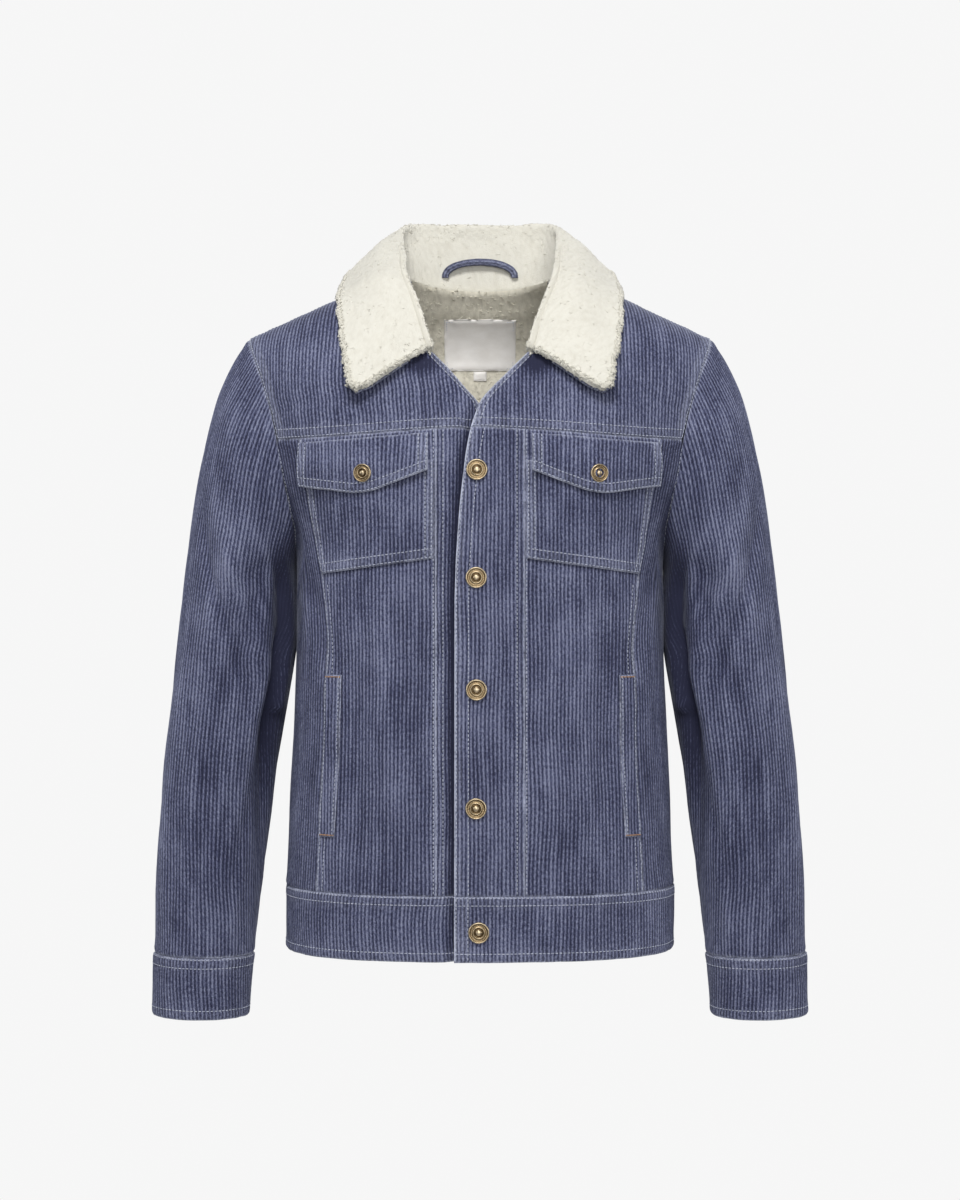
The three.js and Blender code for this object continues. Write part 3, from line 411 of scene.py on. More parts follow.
# Closed shell: a fine outer grid, an inner grid with every k-th column, and rims that join the two.
# uv has one more column than outer where the shell is closed round.
def shell(name, outer, inner, k, uv, wear, materials, closed=False, paintedFoldShade=None):
    rows, fine = outer.shape[:2]
    coarse = inner.shape[1]
    base = rows * fine
    outQuads = gridFaces(rows, fine, closed=closed)
    inQuads = gridFaces(rows, coarse, base, True, closed)
    j = np.arange(coarse if closed else coarse - 1)
    jn = (j + 1) % coarse
    ribs = [(j * k + s) % fine for s in range(k + 1)]
    low, lowBase = (rows - 1) * fine, base + (rows - 1) * coarse
    rims = [np.stack([*ribs, base + jn, base + j], 1),
            np.stack([lowBase + j, lowBase + jn, *[low + r for r in ribs[::-1]]], 1)]
    if not closed:
        i = np.arange(rows - 1)
        n, m = fine - 1, coarse - 1
        rims.append(np.stack([(i + 1) * fine, i * fine, base + i * coarse, base + (i + 1) * coarse], 1))
        rims.append(np.stack([i * fine + n, (i + 1) * fine + n, base + (i + 1) * coarse + m,
                              base + i * coarse + m], 1))
    points = np.concatenate([outer.reshape(-1, 3), inner.reshape(-1, 3)])
    faceSets = [outQuads, inQuads, *rims]
    # uv by loop: the closing column of a tube reads the last uv column
    wide = uv.shape[1]
    i, jj = np.meshgrid(np.arange(rows - 1), np.arange(fine if closed else fine - 1), indexing="ij")
    i, jj = i.ravel(), jj.ravel()
    flat = uv.reshape(-1, 2)
    above, below = i * wide + jj, (i + 1) * wide + jj
    outUv = flat[np.stack([above, below, below + 1, above + 1], 1)]
    pointUv = np.concatenate([uv[:, :fine].reshape(-1, 2), uv[:, :fine:k][:, :coarse].reshape(-1, 2)])
    loopUv = np.concatenate([outUv.reshape(-1, 2)] + [pointUv[g.ravel()] for g in faceSets[1:]])
    if signedVolume(points, np.concatenate([outQuads, inQuads])) < 0:
        starts = np.cumsum([0] + [g.size for g in faceSets])
        parts = [loopUv[a:b].reshape(len(g), g.shape[1], 2)[:, ::-1].reshape(-1, 2)
                 for a, b, g in zip(starts[:-1], starts[1:], faceSets)]
        loopUv = np.concatenate(parts)
        faceSets = [g[:, ::-1] for g in faceSets]
    index = np.zeros(sum(len(g) for g in faceSets))
    index[len(outQuads):len(outQuads) + len(inQuads)] = 1
    wearAll = np.concatenate([wear.ravel(), np.zeros(rows * coarse)])
    paintedFoldShadeAll = None if paintedFoldShade is None else np.concatenate([paintedFoldShade.ravel(), np.zeros(rows * coarse)])
    return makeMesh(name, points, faceSets, materials, loopUv, wearAll, index, paintedFoldShadeAll)


def stepLengths(points, axis):
    return np.linalg.norm(np.diff(points, axis=axis), axis=-1)


def runningSum(steps, axis):
    pads = [(0, 0), (0, 0)]
    pads[axis] = (1, 0)
    return np.pad(np.cumsum(steps, axis=axis), pads)


# Mean over a window of columns and rows, the edges repeated
def blurred(values, columns, rows):
    for axis, size in ((0, rows), (1, columns)):
        pads = [(0, 0), (0, 0)]
        pads[axis] = (size // 2 + 1, size // 2)
        sums = np.cumsum(np.pad(values, pads, mode="edge"), axis=axis)
        n = values.shape[axis]
        values = (np.take(sums, np.arange(size, size + n), axis) - np.take(sums, np.arange(n), axis)) / size
    return values


# How cloth lies by its seams in mm: rolled in at the edge, a soft bead beside it, puckers that fade inwards
seamForm = {"roll": -0.7, "rollWidth": 0.9, "bead": 0.4, "beadAt": 4.0, "beadWidth": 3.0,
            "pucker": 0.5, "puckerSize": 6.5, "puckerReach": 7}
ribWander = {"wide": 1.3, "narrow": 0.35}


clothPieces = {}


# One panel of cloth: skin points with the ribs' relief, rolled seam edges and puckers beside them.
# The distance to each edge and the place across the ribs are lengths measured on the points themselves.
def addCloth(name, cells, skin, materials, wall=clothWall, lift=0.0, start="left", k=4,
             closed=False, loose=0.0, relief=waleRelief, ribsAt=None, wear=None, shade=None):
    here, normal, grain, fold = skin(cells)
    here = here + normal * np.broadcast_to(lift, here.shape[:2])[..., None]
    loop = np.concatenate([here, here[:, :1]], 1) if closed else here
    acrossSteps = np.diff(loop, axis=1)
    left = runningSum(np.linalg.norm(acrossSteps, axis=-1), 1)
    top = runningSum(stepLengths(here, 0), 0)
    edges = {"top": top, "bottom": top[-1] - top}
    if not closed:
        edges.update(left=left, right=left[:, -1:] - left)
    near = np.minimum.reduce(list(edges.values()))
    ribs = ribsAt
    if ribs is None:
        turned = np.concatenate([grain, grain[:, :1]], 1) if closed else grain
        middle = (turned[:, 1:] + turned[:, :-1]) / 2
        ribs = runningSum(np.linalg.norm(np.cross(acrossSteps, middle), axis=-1), 1)
        if start == "middle":
            ribs = ribs - ribs[:, ribs.shape[1] // 2][:, None]
        elif start == "x":
            sign = np.sign(here[:, -1:, 0] - here[:, :1, 0])
            ribs = here[:, :1, 0] + sign * ribs
    topWide = np.concatenate([top, top[:, :1]], 1) if closed else top
    seed = sum(map(ord, name)) % 97
    meander = (ribWander["wide"] * softNoise(ribs / 50 + seed, topWide / 60, 3)
               + ribWander["narrow"] * softNoise(ribs / 14, topWide / 26 + seed, 4))
    ribs = ribs + meander
    across = ribs[:, :near.shape[1]]
    form = seamForm
    seamRoll = (form["roll"] * np.exp(-(near / form["rollWidth"]) ** 2)
                + form["bead"] * np.exp(-((near - form["beadAt"]) / form["beadWidth"]) ** 2))
    crumple = softNoise(across / form["puckerSize"] + seed, top / form["puckerSize"], 5)
    pucker = (form["pucker"] + loose) * crumple * np.exp(-near / form["puckerReach"])
    formed = here + normal * (seamRoll + pucker)[..., None]
    height = relief * np.cos(2 * math.pi * across / wale) * (1 - 0.75 * np.exp(-(near / 1.6) ** 2))
    height = height * (1 + 0.35 * softNoise(across / 4, top / 30 + seed, 6))
    # where ribs cross the rows of the grid at a slant, only the bump shows them
    slant = np.abs(np.diff(across, axis=0, append=across[-1:])) / wale
    height = height * np.exp(-(slant / 0.3) ** 2)
    outer = formed + normal * height[..., None]
    inner = (here - normal * wall)[:, ::k]
    # wear: a line along each edge and a band beside it, as (line, its width, band's width, band) by edge
    worn = 0.25 * np.exp(-(near / 1.0) ** 2)
    for edge, (line, lineWidth, bandWidth, band) in (wear or {}).items():
        away = edges[edge][:, :near.shape[1]]
        worn = np.maximum(worn, line * np.exp(-(away / lineWidth) ** 2))
        worn = np.maximum(worn, band * (1 - smooth((away - bandWidth) / 2)))
    worn = worn * (1 + 0.6 * softNoise(across / 9, top / 9 + seed, 7))
    uv = pair(ribs, topWide)
    # painted light on fold ridges and painted shade in fold hollows: the fold's height against its
    # surroundings
    paintedFoldShade = fold - 0.65 * blurred(fold, 21, 5)
    # painted shade where shadow falls: below the arm, on the sides, under the collar tips and beside the lap
    if shade:
        paintedFoldShade = paintedFoldShade - shade(here, normal)
    obj = shell(name, outer, inner, k, uv, worn, materials, closed, paintedFoldShade)
    flatWidth, flatLength = left[:, -1].max(), top.max(axis=0).max()
    clothPieces[name] = {"obj": obj, "points": formed, "normals": normal, "size": (flatWidth, flatLength),
                         "area": min(gridArea(loop), flatWidth * flatLength), **edges}


# Painted shade where shadow falls, counted in mm of fold hollow: below the arm, at the top of the sides
# (and a little all over them), under the tips of the collar and beside the lap
paintedShadeDepth = {"arm": 8.5, "side": 4.5, "collar": 14.0, "lap": 6.0}


def paintedShadeBelowArm(points, normals):
    x, z = points[..., 0], points[..., 2]
    inward = smooth((-normals[..., 0] * np.sign(x) - 0.5) / 0.48)
    return paintedShadeDepth["arm"] * inward * smooth((-165 - z) / 50) * smooth((z + 480) / 150)


def paintedShadeOnSide(points, _):
    x, z = points[..., 0], points[..., 2]
    outward = smooth((np.abs(x) - 143) / 9)
    # painted shade on the sides, more at their top
    return paintedShadeDepth["side"] * outward * smooth((-165 - z) / 40) * smooth((z + 380) / 150) + 1.0


def paintedShadeUnderCollar(points, _):
    x, z = np.abs(points[..., 0]), points[..., 2]
    return paintedShadeDepth["collar"] * np.exp(-((x - 47) / 12) ** 2 - ((z + 84) / 8) ** 2)


def paintedShadeBesideLap(points, _):
    x, z = points[..., 0], points[..., 2]
    edge = look(frontEdgeLine, z)
    lapEdge = np.where(z < lapStart, edge, -edge)
    return paintedShadeDepth["lap"] * np.exp(-((x - lapEdge) / 4.0) ** 2) * smooth((-90 - z) / 20)


def declareCloth(name, nodes, slot="corduroy"):
    piece = clothPieces[name]
    obj = piece["obj"]
    placePiece(obj, slot, *nodes)


# The line that runs along an edge of a piece at a distance inside it
def rail(name, edge, distance, start=0.0, stop=1.0, raised=0.3):
    piece = clothPieces[name]
    points, normals, away = piece["points"], piece["normals"], piece[edge]
    away = away[:, :points.shape[1]]
    if edge in ("top", "bottom"):
        points, normals, away = points.swapaxes(0, 1), normals.swapaxes(0, 1), away.T
    if edge in ("right", "bottom"):
        points, normals, away = points[:, ::-1], normals[:, ::-1], away[:, ::-1]
    j = np.clip((away < distance).sum(1), 1, away.shape[1] - 1)
    n = np.arange(len(away))
    f = np.clip((distance - away[n, j - 1]) / np.maximum(away[n, j] - away[n, j - 1], 1e-9), 0, 1)[:, None]
    line = lerp(points[n, j - 1], points[n, j], f)
    out = unit(lerp(normals[n, j - 1], normals[n, j], f))
    a, b = int(start * (len(n) - 1)), int(round(stop * (len(n) - 1))) + 1
    return line[a:b] + out[a:b] * raised, out[a:b]


# One mesh of many alike closed shapes: points by shape, and the faces of one shape
def repeatShape(name, verts, quads, tris, material, slot):
    base = (np.arange(len(verts)) * verts.shape[1])[:, None, None]
    faces = [(base + np.array(f)).reshape(-1, len(f[0])) for f in (quads, tris)]
    placePiece(makeMesh(name, verts.reshape(-1, 3), faces, [material]), slot)


# Stitches along lines: each one a small closed spindle, its middle over the cloth and its ends in it
stitch = {"pitch": 3.3, "length": 2.7, "width": 0.42, "rise": 0.3}


def sewLines(name, lines, material, slot="corduroy", gauge=1.0, pitch=None):
    pitch = pitch or stitch["pitch"]
    starts, ends, outs = [], [], []
    for points, normals in lines:
        along = np.concatenate([[0], np.cumsum(np.linalg.norm(np.diff(points, axis=0), axis=1))])
        count = int(along[-1] // pitch)
        s = (np.arange(count) + 0.5 * (along[-1] / pitch - count)) * pitch
        at = [np.stack([np.interp(s + d, along, points[:, c]) for c in range(3)], 1)
              for d in (0, min(stitch["length"], pitch * 0.82))]
        starts.append(at[0])
        ends.append(at[1])
        outs.append(unit(np.stack([np.interp(s, along, normals[:, c]) for c in range(3)], 1)))
    a, b, out = (np.concatenate(v) for v in (starts, ends, outs))
    side = unit(np.cross(b - a, out)) * stitch["width"] * gauge
    up = out * stitch["rise"] * gauge
    rings = []
    for f, grow in ((0.22, 0.85), (0.78, 0.85)):
        centre = lerp(a, b, f)
        rings += [centre + side * grow, centre + up * grow, centre - side * grow, centre - up * 0.6 * grow]
    verts = np.stack([a - up * 0.9, *rings, b - up * 0.9], 1)
    tris = [(0, 2, 1), (0, 3, 2), (0, 4, 3), (0, 1, 4), (9, 5, 6), (9, 6, 7), (9, 7, 8), (9, 8, 5)]
    quads = [(1, 2, 6, 5), (2, 3, 7, 6), (3, 4, 8, 7), (4, 1, 5, 8)]
    repeatShape(name, verts, quads, tris, material, slot)


def yokeSeam(x):
    return yokeSeamAtEdge - yokeSeamDrop * smooth(np.abs(x) / 150)


def outerSeamX(z):
    return look(outerSeamLine, z)


def seamTurn(z):
    return np.arccos(np.clip((z - seamMiddle) / seamReach, -1, 1))


# Point of the armhole seam in the front view, evenly round its oval between two heights
def armholeBySeam(v, zStart, zEnd):
    z = seamMiddle + np.cos(lerp(seamTurn(zStart), seamTurn(zEnd), v)) * seamReach
    return armholeX(z) - seamInset, z


def onFront(sign, edge):
    def turned(f):
        x, z = edge(f)
        return pair(x * sign, dropAngle(x, z, -1))
    return turned


def frontCells(piece, sign, edges):
    return patch(piece, *(onFront(sign, edges[e]) for e in ("top", "bottom", "left", "right")))


# Cells of each panel between its seams. The yoke runs from the shoulder to the chest seam.
def yokeCells(sign):
    topAngle = half / chestDepth[-1]
    edgeEnd, armEnd = yokeSeamAtEdge + half, yokeSeam(164) + half

    def neckline(v):
        z = lerp(-0.02, edgeEnd, v ** 1.25)
        return look(frontEdgeLine, z) + half, z

    def toCell(point):
        x, z = point
        return pair(x * sign, np.maximum(topAngle, dropAngle(x, z, -1)))

    def side(line):
        def cells(v):
            c = toCell(line(v))
            c[v == 0, 1] = topAngle
            return c
        return cells

    def armhole(v):
        return armholeBySeam(v, armholeTop, armEnd)

    neckX, armX = neckline(np.array([0.0, 1.0]))[0], armhole(np.array([0.0, 1.0]))[0]

    def foot(u):
        x = lerp(neckX[1], armX[1], u)
        return toCell((x, yokeSeam(x) + half))

    def head(u):
        return pair(lerp(neckX[0], armX[0], u) * sign, topAngle + 0 * u)
    return patch("yoke", head, foot, side(neckline), side(armhole))


def stripCells(sign):
    bottom = waistSeam + half
    head = yokeSeam(0) - half
    edges = {
        "top": lambda u: (lerp(look(frontEdgeLine, head) + half, stripSeam - half, u),
                          yokeSeam(lerp(look(frontEdgeLine, head), stripSeam, u)) - half),
        "bottom": lambda u: (lerp(look(frontEdgeLine, bottom) + half, stripSeam - half, u), bottom + 0 * u),
        "left": lambda v: (look(frontEdgeLine, lerp(head, bottom, v)) + half, lerp(head, bottom, v)),
        "right": lambda v: (stripSeam - half + 0 * v, lerp(yokeSeam(stripSeam) - half, bottom, v)),
    }
    return frontCells("strip", sign, edges)


# Four edges between the strip's seam and the outer seam, for the panel and the pocket that lies on it
def panelEdges(inset, headZ, footZ):
    top = headZ(146.0)
    return {
        "top": lambda u: (lerp(stripSeam + inset, outerSeamX(top) - inset, u),
                          headZ(lerp(stripSeam + inset, outerSeamX(top) - inset, u))),
        "bottom": lambda u: (lerp(stripSeam + inset, outerSeamX(footZ(1.0)) - inset, u), footZ(u)),
        "left": lambda v: (stripSeam + inset + 0 * v, lerp(headZ(stripSeam), footZ(0.0), v)),
        "right": lambda v: (outerSeamX(lerp(top, footZ(1.0), v)) - inset, lerp(top, footZ(1.0), v)),
    }


def panelCells(sign):
    edges = panelEdges(half, lambda x: yokeSeam(x) - half, lambda u: waistSeam + half + 0 * u)
    return frontCells("panel", sign, edges)


def pocketCells(sign):
    edges = panelEdges(1.2, lambda x: -163.0 + 0 * np.asarray(x), lambda u: lerp(-241, -253, u))
    return frontCells("pocket", sign, edges)


def flapCells(sign):
    inner, outerTop, outerFoot = 41.0, 144.5, 141.5
    pointZ, innerZ, outerZ = -190.0, -171.5, -181.5

    def head(u):
        return yokeSeam(lerp(inner, 146, u)) - 3.4

    def foot(u):  # two straight runs that meet in a soft point
        straight = np.where(u < 0.5, lerp(innerZ, pointZ, u * 2), lerp(pointZ, outerZ, u * 2 - 1))
        return straight + 1.6 * np.exp(-((u - 0.5) / 0.05) ** 2)
    edges = {
        "top": lambda u: (lerp(inner, outerTop, u), head(u)),
        "bottom": lambda u: (lerp(inner, outerFoot, u), foot(u)),
        "left": lambda v: (inner + 0 * v, lerp(head(0), innerZ, v)),
        "right": lambda v: (lerp(outerTop, outerFoot, v), lerp(head(1), outerZ, v)),
    }
    return frontCells("flap", sign, edges)


def weltCells(sign):
    head, foot, width = -334.0, -464.0, 13.5
    edges = {
        "top": lambda u: (outerSeamX(head) - lerp(width, 1, u), head + 0 * u),
        "bottom": lambda u: (outerSeamX(foot) - lerp(width, 1, u), foot + 0 * u),
        "left": lambda v: (outerSeamX(lerp(head, foot, v)) - width, lerp(head, foot, v)),
        "right": lambda v: (outerSeamX(lerp(head, foot, v)) - 1, lerp(head, foot, v)),
    }
    return frontCells("welt", sign, edges)


def backSeamX(z):
    rest = 1 - np.clip((backSeamTop - z) / 210, 0, 1)
    return lerp(118, armholeX(backSeamTop), rest * rest)


# The side panel runs from the outer seam along the armhole's foot to the seam at the back
def sideCells(sign):
    frontTop, foot, yokeShare = yokeSeam(146) - half, waistSeam + half, 2 / 14

    def corner(x, z, side):
        return pair(ringAngle(x, z, side) * sign, z)
    seamX = outerSeamX(frontTop) + half

    def head(u):
        shoulderX = lerp(seamX, armholeX(frontTop) - seamInset, np.minimum(u / yokeShare, 1))
        shoulder = corner(shoulderX, frontTop + 0 * u, -1)
        underArm = np.clip((u - yokeShare) / (1 - yokeShare), 0, 1)
        turn = lerp(seamTurn(frontTop), 2 * math.pi - seamTurn(backSeamTop), underArm)
        z = seamMiddle + np.cos(turn) * seamReach
        low = 1 - np.minimum(1, armholeDepth(z) / 40)
        x = armholeX(z) - seamInset * (1 - low)
        ring = np.where(turn < math.pi, ringAngle(x, z, -1), ringAngle(x, z, 1))
        return np.where((u <= yokeShare)[:, None], shoulder, pair(ring * sign, z - seamInset * low))

    def backX(z):
        return np.where(z > backSeamTop - 0.01, armholeX(z) - seamInset, backSeamX(z) + half)

    def bottom(u):
        start = corner(outerSeamX(foot) + half, foot, -1)
        return pair(lerp(start[0], corner(backX(foot), foot, 1)[0], u), foot + 0 * u)

    def frontSeam(v):
        z = lerp(frontTop, foot, v)
        return corner(outerSeamX(z) + half, z, -1)

    def backSeam(v):
        z = lerp(backSeamTop, foot, v)
        return corner(backX(z), z, 1)
    return patch("side", head, bottom, frontSeam, backSeam)


def backCells():
    topAngle, foot, armShare = half / chestDepth[1], waistSeam + half, 7 / 24
    tip = float(armholeX(armholeTop)) - seamInset
    corner = neckHalfWidth + half

    def head(u):
        x = lerp(-tip, tip, u)
        share = np.minimum(1, np.abs(x) / corner)
        neck = np.arcsin(backNeckDepth * np.sqrt(1 - share * share) / depthAt(0, 1))
        return pair(x, np.maximum(topAngle, neck))

    def edge(sign):
        def cells(v):
            z = lerp(backSeamTop, foot, np.clip((v - armShare) / (1 - armShare), 0, 1))
            upX, upZ = armholeBySeam(np.minimum(v / armShare, 1), armholeTop, backSeamTop)
            low = v > armShare
            x, z = np.where(low, backSeamX(z) - half, upX), np.where(low, z, upZ)
            angle = np.maximum(topAngle, dropAngle(x, z, 1))
            angle[v == 0] = topAngle
            return pair(sign * x, angle)
        return cells
    footX = float(backSeamX(foot)) - half

    def bottom(u):
        x = lerp(-footX, footX, u)
        return pair(x, dropAngle(x, foot, 1))
    return patch("back", head, bottom, edge(-1), edge(1))


def bandCells():
    lapX, head = 20.5 - half, waistSeam - half
    start = float(ringAngle(np.array(-lapX), head, -1))
    end = 2 * math.pi + float(ringAngle(np.array(lapX), head, -1))
    u, v = gridShares("band")
    return pair(lerp(start, end, u[None]), lerp(head, hemHeight, v[:, None]))


# Cubic from p to q with their slopes (Hermite)
def cubic(p, q, slopeP, slopeQ, f):
    f2, f3 = f * f, f * f * f
    toP, toQ = 2 * f3 - 3 * f2 + 1, 3 * f2 - 2 * f3
    return p * toP + slopeP * (f3 - 2 * f2 + f) + q * toQ + slopeQ * (f3 - f2)


# Smooth row of a table at a position counted in rows, for arrays of positions
def rowAt(rows, position):
    rows = np.asarray(rows, float)
    last = len(rows) - 1
    at = np.clip(position, 0, last)
    i = np.minimum(np.floor(at).astype(int), last - 1)
    f = (at - i)[..., None]
    before, after = rows[np.maximum(i - 1, 0)], rows[np.minimum(i + 2, last)]
    p, q = rows[i], rows[i + 1]
    slopeP = (q - before) / np.where(i > 0, 2, 1)[..., None]
    slopeQ = (after - p) / np.where(i + 2 <= last, 2, 1)[..., None]
    return cubic(p, q, slopeP, slopeQ, f)


# Sleeve and cuff sections: both ends in the front view, half depth, and how far the middle lies back
sectionTable = {
    "columns": "outerX outerZ innerX innerZ halfDepth back",
    "sleeve": [
        (192, -57, 152, -235, 57, 0), (204, -75, 153.0, -243, 57.5, 0), (216.5, -101, 153.2, -252, 57.5, 0),
        (226, -134, 152.8, -262, 57, 0.5), (234, -172, 152.2, -273, 56, 1),
        (241.5, -218, 151.8, -287, 54.5, 1.5), (248, -270, 152.2, -305, 53, 1),
        (253.5, -322, 156.4, -335, 51.5, 0), (257.5, -366, 163.0, -374, 50, -2),
        (261.5, -408, 169.2, -414, 48.5, -4), (265, -450, 174.3, -455, 46.5, -6),
        (267.6, -490, 179.3, -494, 44.5, -8), (269, -528, 183.8, -531, 42, -10),
        (269.6, -565, 187.6, -566, 39.5, -12),
    ],
    "cuff": [(270.2, -565.2, 187.4, -566.3, 39.9, -12), (270.9, -584.5, 189, -585.5, 39.4, -12.5),
             (271.2, -600.5, 190.6, -601.5, 38.6, -13), (271, -615.5, 191.6, -616.5, 38, -13.5)],
}
# Sleeve folds from (along1, angle1) to (along2, angle2); along runs from 0 to 1, angles are degrees from
# the outside
sleeveFoldTable = {
    "columns": "along1 angle1 along2 angle2 width height",
    "rows": [
        (0.34, 118, 0.62, 84, 13, -4.2), (0.4, 146, 0.7, 116, 11, 3.4), (0.3, 90, 0.52, 60, 12, 2.6),
        (0.56, 150, 0.86, 128, 12, -3.2), (0.5, 40, 0.9, 26, 13, 2.0), (0.66, 84, 0.94, 70, 12, -2.2),
        (0.34, 242, 0.6, 276, 14, -3.8), (0.5, 216, 0.8, 238, 12, 3.0), (0.62, 300, 0.92, 312, 13, -2.0),
        # creases that only the cloth shows: the long one from the outside down to the inner line,
        # the ridge above it, the hollow at the inner line, and finer ones
        (0.36, 44, 0.62, 128, 9, -3.4), (0.34, 66, 0.58, 148, 9, 2.6), (0.44, 148, 0.8, 160, 16, -9.0),
        (0.24, 142, 0.6, 150, 15, -8.0),
        (0.26, 128, 0.4, 96, 6, -1.6), (0.42, 100, 0.66, 70, 6, 1.0), (0.62, 126, 0.84, 96, 7, -1.4),
        (0.66, 104, 0.92, 90, 6, 1.2), (0.72, 60, 0.98, 48, 7, -1.1), (0.74, 140, 0.98, 122, 7, 1.4),
        (0.28, 232, 0.44, 262, 7, 1.4), (0.46, 250, 0.7, 284, 7, -1.4), (0.6, 228, 0.84, 250, 9, 1.8),
    ],
}


# Point of a sleeve or cuff: an ellipse between the outer and the inner end of its section
def sectionPoint(sections, along, angle, sign):
    row = rowAt(sections, along * (len(sections) - 1))
    outerX, outerZ, innerX, innerZ, halfDepth, back = (row[..., c] for c in range(6))
    c = np.cos(angle)
    x = (outerX + innerX) / 2 + (outerX - innerX) / 2 * c
    z = (outerZ + innerZ) / 2 + (outerZ - innerZ) / 2 * c
    return np.stack(np.broadcast_arrays(sign * x, back - halfDepth * np.sin(angle), z), -1)


def armholePoint(angle, sign):
    z = seamMiddle + np.cos(angle) * seamReach
    return np.stack([sign * armholeX(z), -armholeHalfDepth * np.sin(angle), z], -1)


# The sleeve starts on the armhole seam and eases into its own sections further down
def sleevePoint(along, angle, sign):
    sections = sectionTable["sleeve"]
    free = smooth(along * (len(sections) - 1) / 2.6)
    chord = sectionPoint(sections, 0 * along, angle, sign)
    fitted = (armholePoint(angle, sign) - chord) * (1 - free)[..., None]
    p = sectionPoint(sections, along, angle, sign) + fitted
    nearSeam = (1 - smooth(along / 0.06)) * (seamGap + 0.15)
    return p + np.stack([sign * nearSeam, 0 * nearSeam, -0.25 * nearSeam], -1)


def sleeveFold(along, angle):
    total = np.zeros(np.broadcast(along, angle).shape)
    degrees = np.degrees(np.mod(angle, 2 * math.pi))
    for along1, angle1, along2, angle2, width, height in sleeveFoldTable["rows"]:
        f = (along - along1) / (along2 - along1)
        away = (degrees - lerp(angle1, angle2, f)) / width
        total = total + height * smooth(np.minimum(f + 0.3, 1.3 - f) / 0.6) * np.exp(-away * away)
    innerSide = smooth((np.abs(degrees - 180) - 14) / 22)
    total = np.maximum(total * smooth(along / 0.12) * smooth((1 - along) / 0.06), -14)
    c, s = np.cos(angle), np.sin(angle)
    slack = (0.7 * softNoise(c * 2.4 + 20, along * 11 + s * 2.4, 8)
             + 0.4 * softNoise(c * 6 + 20, along * 26 + s * 6, 9))
    return (total + slack * smooth(along / 0.1)) * np.where(along < 0.6, innerSide, 1)


# Skin of a tube by (angle, along); angle 0 is the outermost line
def tubeSkin(pointAt, foldAt, sign):
    def skin(cells):
        angle, along = cells[..., 0], cells[..., 1]
        here = pointAt(along, angle, sign)
        up, low = np.maximum(along - 0.004, 0), np.minimum(along + 0.004, 1)
        down = pointAt(low, angle, sign) - pointAt(up, angle, sign)
        turn = pointAt(along, angle + 0.02, sign) - pointAt(along, angle - 0.02, sign)
        normal = unit(np.cross(turn, down)) * sign
        lift = foldAt(along, angle)
        return here + normal * lift[..., None], normal, unit(down), lift
    return skin


# Cells of a tube: columns at even lengths round each section from the outermost line, as far as
# straight says to each side, and the rest shared out up to the inner line
def tubeCells(skin, alongs, straight, rest):
    fine = np.linspace(0, math.pi, 241)
    ahead = np.arange(straight + 1) * fineStep
    shares = np.linspace(0, 1, rest + 1)[1:]
    cells = []
    grids = [runningSum(stepLengths(skin(pair(turn * fine[None] % (2 * math.pi), alongs[:, None]))[0], 1), 1)
             for turn in (1, -1)]
    for row, along in enumerate(alongs):
        lengths = [np.concatenate([ahead, ahead[-1] + (g[row, -1] - ahead[-1]) * shares]) for g in grids]
        a, b = (np.interp(length, g[row], fine) for length, g in zip(lengths, grids))
        # from the inner line by the back to the outermost line, and on by the front
        angle = np.concatenate([2 * math.pi - b[::-1], 2 * math.pi + a[1:-1]])
        cells.append(pair(angle, along))
    return np.array(cells)


# Values between the points of a grid, at row i + f and column j + g
def bilinear(grid, i, j, f, g):
    return lerp(lerp(grid[i, j], grid[i, j + 1], g), lerp(grid[i + 1, j], grid[i + 1, j + 1], g), f)


# Place across the ribs on a tube cut from cloth whose ribs run down its middle: the length of the level
# line from the outermost line to each point, found on a table of heights and angles
def tubeRibs(skin, cells, top, foot):
    fine, heights = np.linspace(0, math.pi, 161), np.arange(top, foot - 3, -3.0)
    alongs = np.linspace(0, 1, 161)
    angle = (cells[..., 0] + math.pi) % (2 * math.pi) - math.pi
    here = skin(cells)[0]
    total = np.zeros(angle.shape)
    for turn in (1, -1):
        probe = skin(pair(turn * fine[None] % (2 * math.pi), alongs[:, None]))[0]
        level = np.array([[np.interp(-heights, -probe[:, j, 2], probe[:, j, c]) for c in range(3)]
                          for j in range(len(fine))]).transpose(2, 0, 1)
        lengths = runningSum(stepLengths(level, 1), 1)
        row = np.clip((top - here[..., 2]) / 3.0, 0, len(heights) - 1.001)
        column = np.clip(np.abs(angle) / fine[1], 0, len(fine) - 1.001)
        i, j = row.astype(int), column.astype(int)
        f, g = row - i, column - j
        value = bilinear(lengths, i, j, f, g)
        total = np.where(angle * turn >= 0, value * turn, total)
    last = 2 * total[:, -1:] - total[:, -2:-1]
    return np.concatenate([total, last], 1)


# Collar stations from the middle of the back to the front end: seam, roll line and free edge as x y z
collarTable = [
    (0, 50, -11.5, 0, 56, 47, 0, 79, -15), (26, 47.5, -10.5, 29, 54, 47, 38, 77, -14),
    (48, 39, -7, 54, 45, 46, 78, 65, -10), (61.5, 25, -1, 65, 28, 40.5, 100.5, 41, -3),
    (65, 4, 3.5, 65.5, 4, 26, 110.5, 14, 0), (62, -22, -1, 63.5, -19, 11, 117, -16, -17),
    (55, -47, -19, 61, -45, -7, 116, -50, -39), (46, -66, -46, 50, -69, -38, 109.5, -88, -79),
    (38.5, -80, -76, 39.5, -84, -72.5, 103, -104, -114),
]
lastStation = len(collarTable) - 1


